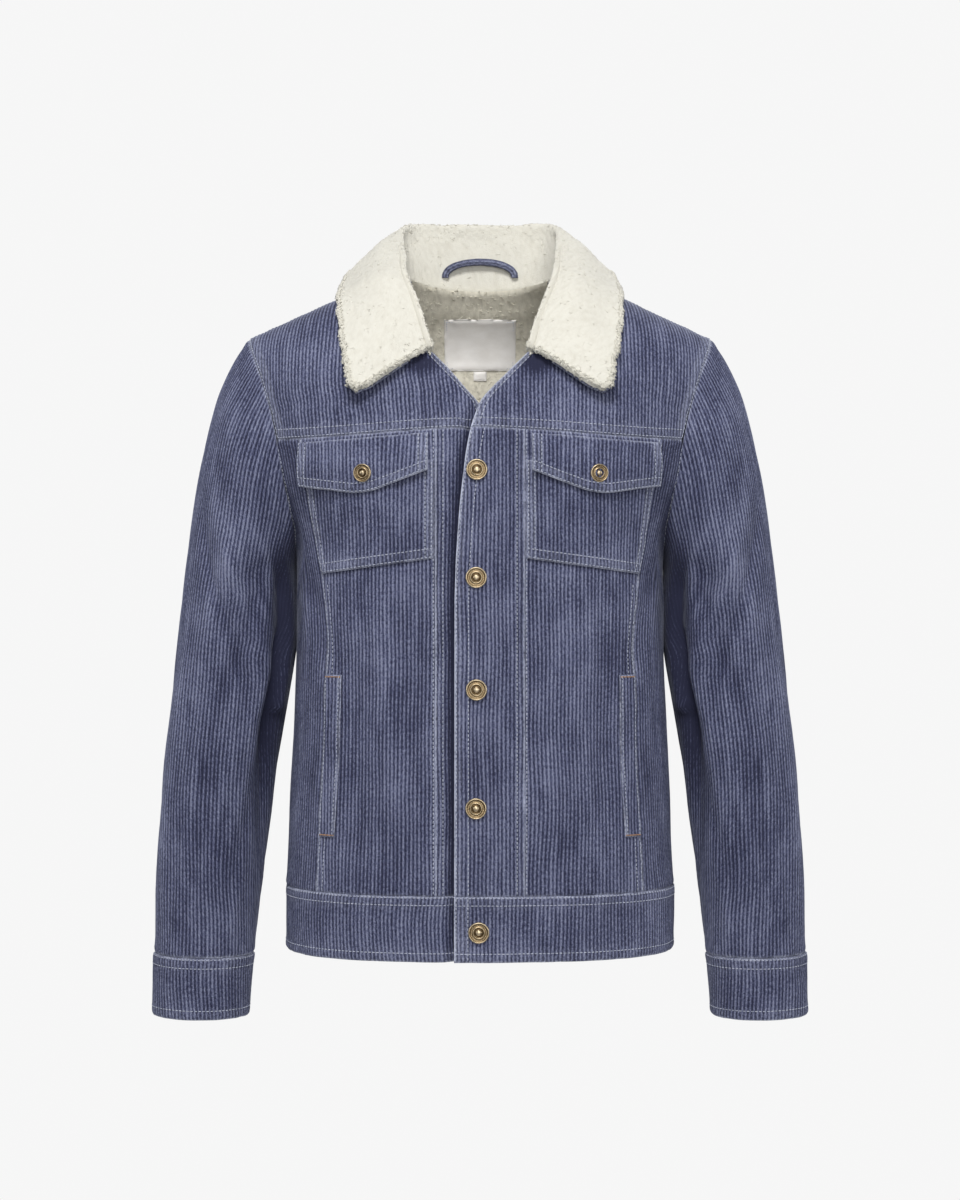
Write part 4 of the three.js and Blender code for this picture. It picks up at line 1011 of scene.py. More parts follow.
# Point of the collar: from the neck seam (along 0) up the stand, over the roll and down to the free edge (1)
def collarPoint(station, along):
    station, along = np.broadcast_arrays(station, along)
    side = np.where(station < 0, -1.0, 1.0)
    at = np.abs(station)
    row = rowAt(collarTable, at)
    seam, roll, edge = row[..., 0:3], row[..., 3:6], row[..., 6:9]
    step = np.where(at > lastStation - 0.1, -0.05, 0.05)
    way = (rowAt(collarTable, at + step)[..., 6:9] - edge) * np.sign(step)[..., None]
    out = unit(np.cross(way, edge - roll))
    out = np.where(out[..., 2:] < 0, -out, out)
    stand = lerp(seam, roll, 0.72)
    puff = lerp(9, 4.5, smooth(at / lastStation))[..., None]
    fall = lerp(roll, edge, 0.3) + out * puff
    low = lerp(roll, edge, 0.68) + out * puff * 0.6
    knots = [seam, stand, roll, fall, low, edge]
    f = np.clip(along * 5, 0, 5)
    i = np.minimum(np.floor(f).astype(int), 4)
    total = np.zeros(station.shape + (3,))
    for n in range(5):
        before, p, q, after = knots[max(n - 1, 0)], knots[n], knots[n + 1], knots[min(n + 2, 5)]
        g = (f - n)[..., None]
        slopeP, slopeQ = (q - before) / (2 if n > 0 else 1), (after - p) / (2 if n < 4 else 1)
        total = np.where((i == n)[..., None], cubic(p, q, slopeP, slopeQ, g), total)
    return total * np.stack([side, 1 + 0 * side, 1 + 0 * side], -1)


# Points that would lie in the body are moved out to it: up near the top of the shoulder, and outwards in
# front of it and behind it. The open neck at the front is left alone.
openNeck, shoulderTop, widest = 34, 45, 0.97


def clearOfBody(p, room):
    x, y, z = p[..., 0], p[..., 1], p[..., 2]
    out = p.copy()
    for side in (-1, 1):
        reach = roundHeight(x, side) + room
        share = np.minimum(widest, np.abs(x) / ringWidth(np.full_like(x, -40.0), side))
        depth = (depthAt(-60, side) + room) * (1 - share ** ringPower) ** (1 / ringPower)
        low = shoulderLine(x) + room - reach * (1 - np.sqrt(np.maximum(0, 1 - (y / depth) ** 2)))
        here = (y < 0 if side < 0 else y >= 0) & (z < low) & ~((np.abs(x) < openNeck) & (y < 0))
        top = here & (np.abs(y) < shoulderTop)
        out[..., 2] = np.where(top, low, out[..., 2])
        share = np.minimum(widest, np.abs(x) / ringWidth(z, side))
        drop = np.clip((shoulderLine(x) + room - z) / reach, 0, 1)
        deep = (depthAt(z, side) + room) * (1 - share ** ringPower) ** (1 / ringPower)
        deep = deep * np.sqrt(1 - (1 - drop) ** 2)
        out[..., 1] = np.where(here & ~top & (deep > np.abs(y)), side * deep, out[..., 1])
    return out


# The collar from start to its free edge: points moved out by lift, their normals and the way to the edge.
# The free edge is longer by extra, ragged, and rounded at both front corners.
def collarSheet(start, lift, extra, columns, rows):
    station = np.linspace(-lastStation, lastStation, columns)[None]
    along = np.linspace(start, 1, rows)[:, None]
    here = collarPoint(station, along)
    sideways = (collarPoint(np.minimum(station + 0.06, lastStation), along)
                - collarPoint(np.maximum(station - 0.06, -lastStation), along))
    onward = (collarPoint(station, np.minimum(1, along + 0.01))
              - collarPoint(station, np.maximum(0, along - 0.01)))
    normal = unit(np.cross(sideways, onward))
    corner = smooth((np.abs(station) - lastStation + 0.4) / 0.4)
    corner = corner * smooth((along - 0.82) / 0.18)
    ragged = 1.1 * softNoise(station * 9 + 60, along * 3, 2) * smooth((along - 0.9) / 0.1) - 5.5 * corner
    reach = here + unit(onward) * (extra * smooth((along - 0.94) / 0.06) + ragged)[..., None]
    reach = reach - unit(sideways) * (np.sign(station) * 3.0 * corner)[..., None]
    # the foot of the stand goes down into the neck seam, all round but for the front ends
    away = np.abs(station)
    foot = lerp(5.0, 8.0, smooth((away - 1.5) / 2)) * (1 - smooth((away - 4.3) / 1.2))
    foot = foot * (1 - smooth(along / 0.09))
    reach = reach - unit(onward) * foot[..., None]
    room = np.where(along > 0.45, layerGap + 7.2 + lift, 1.0) * np.ones_like(station)
    return clearOfBody(reach + normal * lift, room), normal, unit(onward)


# Distance to the nearest of scattered points, one in each cell of a lattice, in cells
def cellDistance(x, y, layer):
    i, j = np.floor(x).astype(int), np.floor(y).astype(int)
    best = np.full(np.broadcast(x, y).shape, 9.0)
    for di in (-1, 0, 1):
        for dj in (-1, 0, 1):
            a, b = (i + di) % 256, (j + dj) % 256
            px = i + di + 0.5 + 0.42 * noiseLattice[layer][a, b]
            py = j + dj + 0.5 + 0.42 * noiseLattice[layer + 1][a, b]
            best = np.minimum(best, np.hypot(x - px, y - py))
    return best


# Sherpa: a closed pad with rounded edges whose outer face is raised in small curly lumps
def addPile(name, here, normal, wall, materials, lumps, k=2):
    across = runningSum(stepLengths(here, 1), 1)
    down = runningSum(stepLengths(here, 0), 0)
    near = np.minimum.reduce([across, across[:, -1:] - across, down, down[-1] - down])
    rounded = np.sqrt(1 - (1 - np.clip(near / (wall * 0.6), 0, 1)) ** 2)
    x = across - across[:, across.shape[1] // 2][:, None]
    bend = softNoise(x / 5, down / 5, 3) * 0.5
    big = cellDistance(x / lumps["size"] + bend, down / lumps["size"] - bend, 4)
    small = cellDistance(x / lumps["small"], down / lumps["small"] + bend, 6)
    lump = lumps["height"] * (1 - 1.6 * big * big) + lumps["smallHeight"] * (1 - 1.5 * small * small)
    lump = lump + 0.8 * softNoise(x / 17, down / 17, 8)
    middle = here - normal * wall / 2
    outer = middle + normal * (wall / 2 * rounded + lump * rounded)[..., None]
    inner = (middle - normal * (wall / 2 * rounded + 0.02)[..., None])[:, ::k]
    # the lumps' tops are painted light and the gaps between them painted shade, stored with the wear
    obj = shell(name, outer, inner, k, pair(x, down), np.clip(1 - big * 1.3, 0, 1), materials)
    clothPieces[name] = {"obj": obj, "points": outer, "normals": normal, "area": gridArea(here),
                         "size": (across[:, -1].max(), down.max())}


curlSides = (0, 2.094, 4.189)  # a curl has three sides, a third of a turn apart


# Curls of pile: short bent tapering threads that start in the pad and fall back to it; the first
# edgeCount of them stand along the lower edge and both ends, taller and rounder
def addCurls(name, of, material, slot, faceCount, edgeCount, length, height, seed, sunk=0.0):
    rand = np.random.default_rng(seed)
    points, normals = clothPieces[of]["points"], clothPieces[of]["normals"]
    rows, columns = points.shape[:2]
    count = faceCount + edgeCount
    r, c = rand.uniform(0, rows - 1.001, count), rand.uniform(0, columns - 1.001, count)
    place, inset = rand.uniform(0, 1, edgeCount), rand.uniform(0, 2.4, edgeCount)
    r[:edgeCount] = np.where(place < 0.8, rows - 1.001 - inset, r[:edgeCount])
    end = np.where(place < 0.9, inset, columns - 1.001 - inset)
    c[:edgeCount] = np.where(place < 0.8, c[:edgeCount], end)
    atEdge = (np.arange(count) < edgeCount)[:, None]
    height, flat = np.where(atEdge, 2.2 * height, height), np.where(atEdge, 0.9, 0.4)
    depth = np.where(atEdge, 0.35, 0.35 + sunk)
    i, j = r.astype(int), c.astype(int)
    u, v = (c - j)[:, None], (r - i)[:, None]
    base = bilinear(points, i, j, v, u)
    out = unit(normals[i, j])
    east = unit(points[i, j + 1] - points[i, j])
    north = np.cross(out, east)
    turn = rand.uniform(0, 2 * math.pi, count)[:, None]
    way = east * np.cos(turn) + north * np.sin(turn)
    side = np.cross(out, way)
    size = rand.uniform(0.7, 1.3, count)[:, None]
    rings = []
    for t, thick in ((0, 0.75), (0.33, 0.8), (0.68, 0.62), (1, 0.3)):
        rise = height * size * math.sin(math.pi * (0.08 + 0.84 * t)) - depth
        sideways = 1.5 * size * math.sin(math.pi * t * 1.5)
        centre = base + way * (length * size * (t - 0.5)) + side * sideways + out * rise
        for a in curlSides:
            rings.append(centre + (out * math.cos(a) * flat + side * math.sin(a) * 1.25) * thick)
    quads = [(3 * s + a, 3 * s + (a + 1) % 3, 3 * s + 3 + (a + 1) % 3, 3 * s + 3 + a)
             for s in range(3) for a in range(3)]
    repeatShape(name, np.stack(rings, 1), quads, [(0, 2, 1), (9, 10, 11)], material, slot)


# Turned button: rings of a profile (radius, height, brightness) about a normal, with beads round the dish
buttonTable = {
    "columns": "radius height bright",
    "profile": [(0.0, 0.0, 0), (0.97, 0.0, 0.2), (1.0, 0.25, 0.6), (1.0, 0.55, 0.9), (0.965, 0.78, 1.0),
                (0.915, 0.86, 1.0), (0.865, 0.78, 0.5), (0.84, 0.66, 0.1), (0.8, 0.62, 0.15),
                (0.66, 0.6, 0.3), (0.585, 0.62, 0.3), (0.56, 0.72, 0.8), (0.53, 0.76, 1.0),
                (0.49, 0.72, 0.6), (0.46, 0.5, 0.05), (0.4, 0.42, 0.0), (0.31, 0.44, 0.05),
                (0.285, 0.62, 0.5), (0.25, 0.84, 1.0), (0.16, 0.95, 1.0), (0.05, 0.98, 0.9),
                (0.0, 0.985, 0.9)],
    "around": 48, "height": 2.8,
    # beads in the dish, as shares of the button's radius, and the levels of their rims and tips in mm
    "beads": 26, "beadRadius": 0.055, "beadRing": 0.725,
    "beadShoulder": 0.26, "beadTip": 0.36, "beadFoot": -0.1,
}


def addButton(name, x, z, radius, front, lift, material):
    here, normal, _, _ = bodySkin(-1, front)(pair(np.array([x]), dropAngle(np.array([x]), z, -1)))
    base, out = here[0] + normal[0] * lift, normal[0]
    east = unit(np.cross([0, 0, 1], out))
    north = np.cross(out, east)
    around, height = buttonTable["around"], buttonTable["height"]
    profile = np.array(buttonTable["profile"])
    turn = np.arange(around) * 2 * math.pi / around
    disc = np.cos(turn)[:, None] * east + np.sin(turn)[:, None] * north
    body = profile[1:-1]
    ringPoints = base + radius * body[:, :1, None] * disc[None] + out * height * body[:, 1, None, None]
    rows = len(body)
    points = [ringPoints.reshape(-1, 3), base[None], (base + out * height * profile[-1, 1])[None]]
    quads = gridFaces(rows, around, closed=True, flip=True)
    bright = [np.repeat(body[:, 2], around), [0.0, 0.9]]
    # beads in the dish, as small eight-sided domes
    beads, beadRadius, ring = (buttonTable[key] for key in ("beads", "beadRadius", "beadRing"))
    beadTurn = np.arange(beads) * 2 * math.pi / beads
    start = rows * around + 2
    beadWay = np.cos(beadTurn)[:, None] * east + np.sin(beadTurn)[:, None] * north
    centre = base + ring * radius * beadWay + out * height * 0.57
    a = np.arange(8) * math.pi / 4
    rim = (np.cos(a)[:, None] * east + np.sin(a)[:, None] * north) * (beadRadius * radius)
    shoulder, tip, foot = (out * buttonTable[key] for key in ("beadShoulder", "beadTip", "beadFoot"))
    dome = np.concatenate([centre[:, None] + rim, centre[:, None] + rim * 0.7 + shoulder,
                           (centre + tip)[:, None], (centre + foot)[:, None]], 1)
    points.append(dome.reshape(-1, 3))
    bright.append(np.tile([0.4] * 8 + [0.9] * 8 + [1.0, 0.0], beads))
    s, sn = np.arange(8), (np.arange(8) + 1) % 8
    beadQuads = np.stack([s, sn, 8 + sn, 8 + s], 1)
    beadTris = np.concatenate([np.stack([8 + s, 8 + sn, np.full(8, 16)], 1),
                               np.stack([sn, s, np.full(8, 17)], 1)])
    offset = start + (np.arange(beads) * 18)[:, None, None]
    faceSets = [quads, endFans(rows, around, True), (offset + beadQuads).reshape(-1, 4),
                (offset + beadTris).reshape(-1, 3)]
    obj = makeMesh("button_" + name, np.concatenate(points), faceSets, [material],
                   wear=np.concatenate(bright))
    placePiece(obj, "brass", name)


# Materials. A small helper adds a node, sets its values and links its inputs.
def newMaterial(name, roughness, sheen=0.0, sheenRoughness=0.4, metallic=0.0):
    material = bpy.data.materials.new(name)
    material.use_nodes = True
    shader = material.node_tree.nodes["Principled BSDF"]
    shader.inputs["Roughness"].default_value = roughness
    shader.inputs["Metallic"].default_value = metallic
    shader.inputs["Sheen Weight"].default_value = sheen
    shader.inputs["Sheen Roughness"].default_value = sheenRoughness
    return material, shader


def node(material, kind, links=None, **values):
    tree = material.node_tree
    made = tree.nodes.new("ShaderNode" + kind)
    for key, value in values.items():
        if hasattr(made, key):
            setattr(made, key, value)
        else:
            made.inputs[key.replace("_", " ")].default_value = value
    for key, source in (links or {}).items():
        tree.links.new(source, made.inputs[key])
    return made


def mathNode(material, operation, *values):
    made = node(material, "Math", operation=operation)
    for i, v in enumerate(values):
        if isinstance(v, (int, float)):
            made.inputs[i].default_value = v
        else:
            material.node_tree.links.new(v, made.inputs[i])
    return made.outputs[0]


def added(material, a, b):
    return mathNode(material, "ADD", a, b)


def times(material, a, b):
    return mathNode(material, "MULTIPLY", a, b)


def attribute(material, name):
    return node(material, "Attribute", attribute_name=name).outputs["Fac"]


def setColor(material, shader, color):
    material.node_tree.links.new(color, shader.inputs["Base Color"])


def ramp(material, factor, stops):
    made = node(material, "ValToRGB", {"Fac": factor})
    elements = made.color_ramp.elements
    while len(elements) < len(stops):
        elements.new(0.5)
    for element, (position, color) in zip(elements, stops):
        element.position = position
        element.color = (*color, 1)
    return made.outputs["Color"]


# Mixes a plain color into a base by a factor; the Mix node's color sockets are its inputs 6 and 7
def mixColor(material, factor, base, color):
    made = node(material, "Mix", {0: factor, 6: base}, data_type="RGBA")
    made.inputs[7].default_value = (*color, 1)
    return made.outputs[2]


def noise(material, vector, scale, detail=2.0, rough=0.5):
    made = node(material, "TexNoise", {"Vector": vector}, Scale=scale, Detail=detail, Roughness=rough)
    return made.outputs["Fac"]


def scaled(material, vector, x, y):
    return node(material, "Mapping", {"Vector": vector}, Scale=(x, y, 1)).outputs["Vector"]


def setBump(material, shader, height, strength, distance):
    bump = node(material, "Bump", {"Height": height}, Strength=strength, Distance=distance)
    material.node_tree.links.new(bump.outputs["Normal"], shader.inputs["Normal"])


clothColor = {"deep": (0.012, 0.014, 0.042), "mid": (0.076, 0.086, 0.165), "light": (0.24, 0.258, 0.37),
              "worn": (0.50, 0.53, 0.66)}


# Corduroy: ribs by the uv's first number in mm, each rib with its own shade, streaks along it, worn edges.
# Each part of the shade is a noise less its middle, times its weight.
def corduroyMaterial(name, spacing=wale):
    material, shader = newMaterial(name, 0.9, sheen=0.18)
    shader.inputs["Sheen Tint"].default_value = (0.7, 0.75, 0.95, 1)
    uv = node(material, "UVMap", uv_map="cloth").outputs["UV"]
    split = node(material, "SeparateXYZ", {"Vector": uv}).outputs
    wave = mathNode(material, "COSINE", times(material, split["X"], 2 * math.pi / spacing))
    rib = mathNode(material, "MULTIPLY_ADD", wave, 0.5, 0.5)
    number = mathNode(material, "ROUND", mathNode(material, "DIVIDE", split["X"], spacing))
    ribVector = node(material, "CombineXYZ", {"X": times(material, number, 7.31),
                                              "Y": times(material, split["Y"], 0.016)}).outputs[0]
    pile = noise(material, scaled(material, uv, 2.2, 0.9), 1.0, 3.0, 0.7)
    grit = noise(material, scaled(material, uv, 0.85, 0.38), 1.0, 2.0, 0.6)
    shades = [(noise(material, ribVector, 1.0, 2.0, 0.6), 0.5),
              (noise(material, scaled(material, uv, 0.16, 0.03), 1.0, 3.0, 0.6), 0.4),
              (pile, 1.4), (grit, 1.15),
              (noise(material, scaled(material, uv, 0.02, 0.02), 1.0, 2.0, 0.5), 0.5)]
    total = times(material, rib, 0.5)
    for shade, weight in shades:
        shifted = times(material, mathNode(material, "SUBTRACT", shade, 0.5), weight)
        total = added(material, total, shifted)
    # painted shade in fold hollows and where shadow falls, painted light on fold ridges
    raised = times(material, attribute(material, "paintedFoldShade"), 0.055)
    total = added(material, added(material, total, 0.17), raised)
    stops = ((0.16, "deep"), (0.47, "mid"), (0.86, "light"))
    base = ramp(material, total, [(at, clothColor[shade]) for at, shade in stops])
    gritSquared = times(material, mathNode(material, "POWER", grit, 2.0), 5.0)
    patchy = times(material, attribute(material, "wear"), gritSquared)
    worn = node(material, "Clamp", {"Value": patchy}).outputs[0]
    setColor(material, shader, mixColor(material, worn, base, clothColor["worn"]))
    height = added(material, times(material, rib, 0.7), times(material, pile, 0.8))
    setBump(material, shader, height, 0.55, 0.00035)
    return material


# Pile: cream curls with painted shade between them; the attribute of wear and painted shade is high on top
# of a lump, a painted highlight there
def pileMaterial(name, low, high):
    material, shader = newMaterial(name, 0.95, sheen=0.25, sheenRoughness=0.5)
    where = node(material, "TexCoord").outputs["Object"]
    fine = noise(material, where, 900, 3.0, 0.7)
    wide = noise(material, where, 60, 2.0, 0.5)
    noises = times(material, added(material, fine, wide), 0.42)
    total = added(material, times(material, attribute(material, "wear"), 0.45), noises)
    setColor(material, shader, ramp(material, total, [(0.2, low), (0.75, high)]))
    setBump(material, shader, fine, 0.6, 0.0008)
    return material


def threadMaterial(name, color, dark):
    material, shader = newMaterial(name, 0.75, sheen=0.1)
    where = node(material, "TexCoord").outputs["Object"]
    twist = noise(material, where, 420, 2.0)
    setColor(material, shader, ramp(material, twist, [(0.35, dark), (0.62, color)]))
    setBump(material, shader, noise(material, where, 2600, 1.0), 0.4, 0.0002)
    return material


# Satin: fine warp and weft lines over a slightly uneven cream
def satinMaterial(name):
    material, shader = newMaterial(name, 0.42, sheen=0.1)
    uv = node(material, "UVMap", uv_map="cloth").outputs["UV"]
    split = node(material, "SeparateXYZ", {"Vector": uv}).outputs
    warp = mathNode(material, "SINE", times(material, split["X"], 2 * math.pi / 0.35))
    weft = mathNode(material, "SINE", times(material, split["Y"], 2 * math.pi / 0.5))
    weave = added(material, warp, times(material, weft, 0.6))
    cloud = noise(material, scaled(material, uv, 0.07, 0.1), 1.0, 3.0, 0.6)
    total = added(material, cloud, times(material, weave, 0.05))
    stops = [(0.3, (0.88, 0.85, 0.81)), (0.7, (0.97, 0.945, 0.915))]
    setColor(material, shader, ramp(material, total, stops))
    setBump(material, shader, weave, 0.25, 0.0001)
    return material


# Antique brass: bright on raised rings and beads, dark in the dish, with fine scuffs
def brassMaterial(name):
    material, shader = newMaterial(name, 0.36, metallic=1.0)
    where = node(material, "TexCoord").outputs["Object"]
    scuff = noise(material, where, 900, 4.0, 0.65)
    scuffed = times(material, mathNode(material, "SUBTRACT", scuff, 0.42), 0.7)
    total = added(material, times(material, attribute(material, "wear"), 0.7), scuffed)
    stops = [(0.0, (0.085, 0.055, 0.028)), (0.45, (0.35, 0.255, 0.14)), (0.95, (0.75, 0.635, 0.45))]
    setColor(material, shader, ramp(material, total, stops))
    rough = node(material, "MapRange", {"Value": scuff}, To_Min=0.28, To_Max=0.55)
    material.node_tree.links.new(rough.outputs[0], shader.inputs["Roughness"])
    setBump(material, shader, scuff, 0.25, 0.0002)
    return material


cloth = corduroyMaterial("corduroy")
clothFine = corduroyMaterial("corduroy_fine", spacing=2.4)
inside = pileMaterial("inside_pile", (0.40, 0.37, 0.32), (0.70, 0.66, 0.60))
sleeveInside = pileMaterial("sleeve_lining", (0.05, 0.055, 0.075), (0.11, 0.115, 0.15))
sherpa = pileMaterial("sherpa", (0.645, 0.618, 0.536), (0.735, 0.714, 0.636))
curl = pileMaterial("sherpa_curl", (0.67, 0.645, 0.562), (0.745, 0.724, 0.646))
liningPile = pileMaterial("lining_pile", (0.50, 0.47, 0.38), (0.80, 0.76, 0.64))
liningCurl = pileMaterial("lining_curl", (0.62, 0.585, 0.48), (0.82, 0.78, 0.66))
thread = threadMaterial("thread", (0.56, 0.59, 0.70), (0.34, 0.37, 0.47))
tanThread = threadMaterial("bartack_thread", (0.52, 0.30, 0.17), (0.30, 0.16, 0.08))
satin = satinMaterial("satin")
brass = brassMaterial("brass")
bodyCloth, sleeveCloth = (cloth, inside), (cloth, sleeveInside)
print("materials made")

# Body panels, front pieces on both sides. Wear says, for each edge, how light the line on it is and its
# width, then the width of the band beside it and how light that is.
overlay = layerGap + overlayWall
seams, bartacks = [], []
frontWear = {
    "yoke": {"bottom": (0.5, 0.8, 8, 0.045), "right": (0.6, 0.9, 9, 0.09), "left": (0.9, 1.2, 5, 0.12)},
    "strip": {"right": (1.1, 0.7, 6, 0.02), "left": (1.2, 0.9, 5, 0.06)},
    "panel": {"right": (1.0, 0.7, 4, 0.03)},
    "pocket": {"bottom": (0.5, 0.8, 8, 0.04), "left": (0.3, 0.9, 7, 0.08), "right": (0.3, 0.9, 7, 0.08)},
    "flap": {"bottom": (0.9, 0.7, 7, 0.05), "left": (0.6, 0.8, 8, 0.08), "right": (0.6, 0.8, 8, 0.08)},
    "welt": {"left": (0.4, 0.8, 2, 0.06)},
}
# Lines of stitches by piece: the edge, how far inside it, and from which share of it to which
frontStitches = {
    "yoke": [("bottom", 1.5), ("bottom", 8.0), ("left", 1.8, 0.04, 0.98), ("left", 6.0, 0.04, 0.96),
             ("right", 1.8, 0.1, 1), ("top", 1.8)],
    "strip": [("left", 1.7), ("left", 11.2), ("right", 6.2)],
    "panel": [("left", 1.5), ("right", 1.5), ("right", 6.5, 0.34, 1)],
    "pocket": [("bottom", 1.4), ("bottom", 8.0), ("left", 1.6), ("left", 6.6), ("right", 1.6),
               ("right", 6.6)],
    "flap": [(edge, inset) for edge in ("left", "bottom", "right") for inset in (1.3, 7.6)],
    "welt": [("left", 1.8), ("right", 1.4)],
    "side": [("top", 1.8, 0.16, 1), ("right", 1.6)],
}
pocketForm = {"wall": overlayWall, "loose": 0.25}
flapForm = {"wall": overlayWall, "loose": 0.35}
weltForm = {"wall": 1.5, "loose": 0.15, "lift": layerGap + 1.5}


def addFront(piece, side, sign, cells, **form):
    addCloth(f"{piece}_{side}", cells, bodySkin(-1, sign), bodyCloth, start="x",
             wear=frontWear[piece], **form)


# How far a pocket and a flap stand off the front: the pocket's middle is puffed, the flap's edge waves
def pocketPuff():
    u, v = gridShares("pocket")
    u, v = u[None], v[:, None]
    return overlay + 1.1 * np.sin(math.pi * u) ** 0.7 * smooth(v / 0.3) * smooth((1 - v) / 0.15)


def flapRise(sign):
    u, v = gridShares("flap")
    u, v = u[None], v[:, None]
    return lerp(overlay + 1.2, overlay * 2 + 2.8, smooth(v * 1.6)) + 0.9 * v * np.cos(u * 9 + sign)


for side, sign in (("left", 1), ("right", -1)):
    yoke, panel = f"yoke_{side}", f"panel_{side}"
    addFront("yoke", side, sign, yokeCells(sign), shade=paintedShadeUnderCollar)
    addFront("strip", side, sign, stripCells(sign), shade=paintedShadeBesideLap if sign < 0 else None)
    addFront("panel", side, sign, panelCells(sign))
    addCloth(f"side_{side}", sideCells(sign), ringSkin(), bodyCloth, start="left", shade=paintedShadeOnSide)
    addFront("pocket", side, sign, pocketCells(sign), lift=pocketPuff(), **pocketForm)
    addFront("flap", side, sign, flapCells(sign), lift=flapRise(sign), **flapForm)
    addFront("welt", side, sign, weltCells(sign), **weltForm)
    for piece, stitchLines in frontStitches.items():
        seams += [rail(f"{piece}_{side}", *line) for line in stitchLines]
    bartacks += [rail(f"welt_{side}", edge, 1.6) for edge in ("top", "bottom")]
    declareCloth(yoke, [f"front_yoke_{side}"])
    declareCloth(f"strip_{side}", [f"front_strip_{side}"])
    declareCloth(panel, [f"front_panel_{side}"])
    declareCloth(f"side_{side}", [f"side_panel_{side}"])
    declareCloth(f"pocket_{side}", [f"chest_pocket_{side}"])
    declareCloth(f"flap_{side}", [f"pocket_flap_{side}"])
    declareCloth(f"welt_{side}", [f"side_welt_{side}"])
addCloth("back", backCells(), bodySkin(1), bodyCloth, start="middle",
         wear={"left": (0.7, 1.0, 7, 0.12), "right": (0.7, 1.0, 7, 0.12)})
declareCloth("back", ["back_panel"])
seams += [rail("back", *line) for line in (("left", 1.8), ("right", 1.8), ("left", 7.0, 0.3, 1),
                                           ("right", 7.0, 0.3, 1))]
addCloth("band", bandCells(), ringSkin(True), bodyCloth, wall=clothWall + 0.4, start="left", wear={
    "top": (0.35, 0.8, 7, 0.03), "bottom": (0.4, 0.9, 7, 0.03), "left": (1.2, 0.9, 11, 0.06)})
declareCloth("band", ["waistband"])
seams += [rail("band", *line) for line in (("top", 1.1), ("top", 7.0), ("bottom", 7.0), ("left", 1.6),
                                           ("left", 11.0), ("right", 1.6))]
print("body made")

# Sleeves and cuffs: how many rows, the columns that lie straight and the rest, and the heights between
# which the ribs run level
tubeForm = {
    "arm": {"length": 510, "rows": 82, "straight": 136, "rest": 84, "top": armholeTop, "foot": -566.0},
    "wrist": {"length": 50, "rows": 6, "straight": 136, "rest": 24, "top": -565.0, "foot": -616.5},
}


def cuffPoint(along, angle, sign):
    return sectionPoint(sectionTable["cuff"], along, angle, sign)


def cuffFold(along, angle):
    wave = softNoise(np.cos(angle) * 2 + 9, np.sin(angle) * 2 + along * 1.3, 10)
    return 1.1 * wave * (1 - 0.6 * np.abs(2 * along - 1))


def addTube(piece, side, skin, **details):
    form = tubeForm[piece]
    cells = tubeCells(skin, seamRows(form["length"], form["rows"]), form["straight"], form["rest"])
    ribs = tubeRibs(skin, cells, form["top"], form["foot"])
    addCloth(f"{piece}_{side}", cells, skin, sleeveCloth, closed=True, ribsAt=ribs, **details)


for side, sign in (("left", 1), ("right", -1)):
    addTube("arm", side, tubeSkin(sleevePoint, sleeveFold, sign), wear={"bottom": (0.5, 1.2, 0, 0)},
            shade=paintedShadeBelowArm)
    declareCloth(f"arm_{side}", [f"sleeve_{side}"])
    addTube("wrist", side, tubeSkin(cuffPoint, cuffFold, sign), loose=0.15,
            wear={"top": (0.35, 0.9, 8, 0.03), "bottom": (0.4, 0.9, 7, 0.03)})
    declareCloth(f"wrist_{side}", [f"cuff_{side}"])
    seams += [rail(f"wrist_{side}", *line) for line in (("top", 1.2), ("top", 8.2), ("bottom", 7.6))]
print("sleeves made")

# Collar, its lower layer, the lining at the back of the neck, labels and hanger loop
collarForm = {"start": 0.0, "lift": 0.0, "extra": 0.0, "columns": 341, "rows": 86}
collarLumps = {"size": 4.4, "small": 1.9, "height": 0.5, "smallHeight": 0.27}
collarCurls = {"faceCount": 2000, "edgeCount": 3200, "length": 3.2, "height": 0.42, "seed": 3, "sunk": 0.09}
lowerForm = {"start": 7 / 12, "lift": -(sherpaWall + 0.45), "extra": 0.5, "columns": 321, "rows": 18}
outer, normal, _ = collarSheet(**collarForm)
addPile("sherpa_collar", outer, normal, sherpaWall, (sherpa, sherpa), collarLumps)
declareCloth("sherpa_collar", ["collar"], "sherpa")
addCurls("collar_curls", "sherpa_collar", curl, "sherpa", **collarCurls)


lowerPoints, lowerNormals, lowerGrain = collarSheet(**lowerForm)
lowerCells = np.zeros(lowerPoints.shape[:2] + (2,))


def lowerCollarSkin(cells):
    return lowerPoints, lowerNormals, lowerGrain, np.zeros(cells.shape[:2])


addCloth("collar_back_cloth", lowerCells, lowerCollarSkin, (cloth, cloth), wall=1.3, relief=0.15)
declareCloth("collar_back_cloth", ["under_collar"])


# Cells on the inside of the back, between two half widths and two heights
def insideCells(widthTop, widthFoot, headAt, foot, columns, rows):
    u, v = np.linspace(-1, 1, columns)[None], np.linspace(0, 1, rows)[:, None]
    x = lerp(widthTop, widthFoot, v) * u
    z = lerp(headAt(x), foot, v)
    return pair(x, dropAngle(x, z, 1))


back = bodySkin(1)


def liningHead(x):
    share = np.minimum(1, np.abs(x) / neckHalfWidth)
    neck = np.arcsin(backNeckDepth * np.sqrt(1 - share * share) / depthAt(0, 1))
    return shoulderLine(x) - roundHeight(x, 1) * (1 - np.cos(neck * 0.9))


liningForm = {"widthTop": 58, "widthFoot": 104, "headAt": liningHead, "foot": -178,
              "columns": 121, "rows": 85}
liningLumps = {"size": 5.0, "small": 2.2, "height": 0.6, "smallHeight": 0.25}
liningCurls = {"faceCount": 1300, "edgeCount": 0, "length": 3.0, "height": 0.4, "seed": 5}
here, normal, _, _ = back(insideCells(**liningForm))
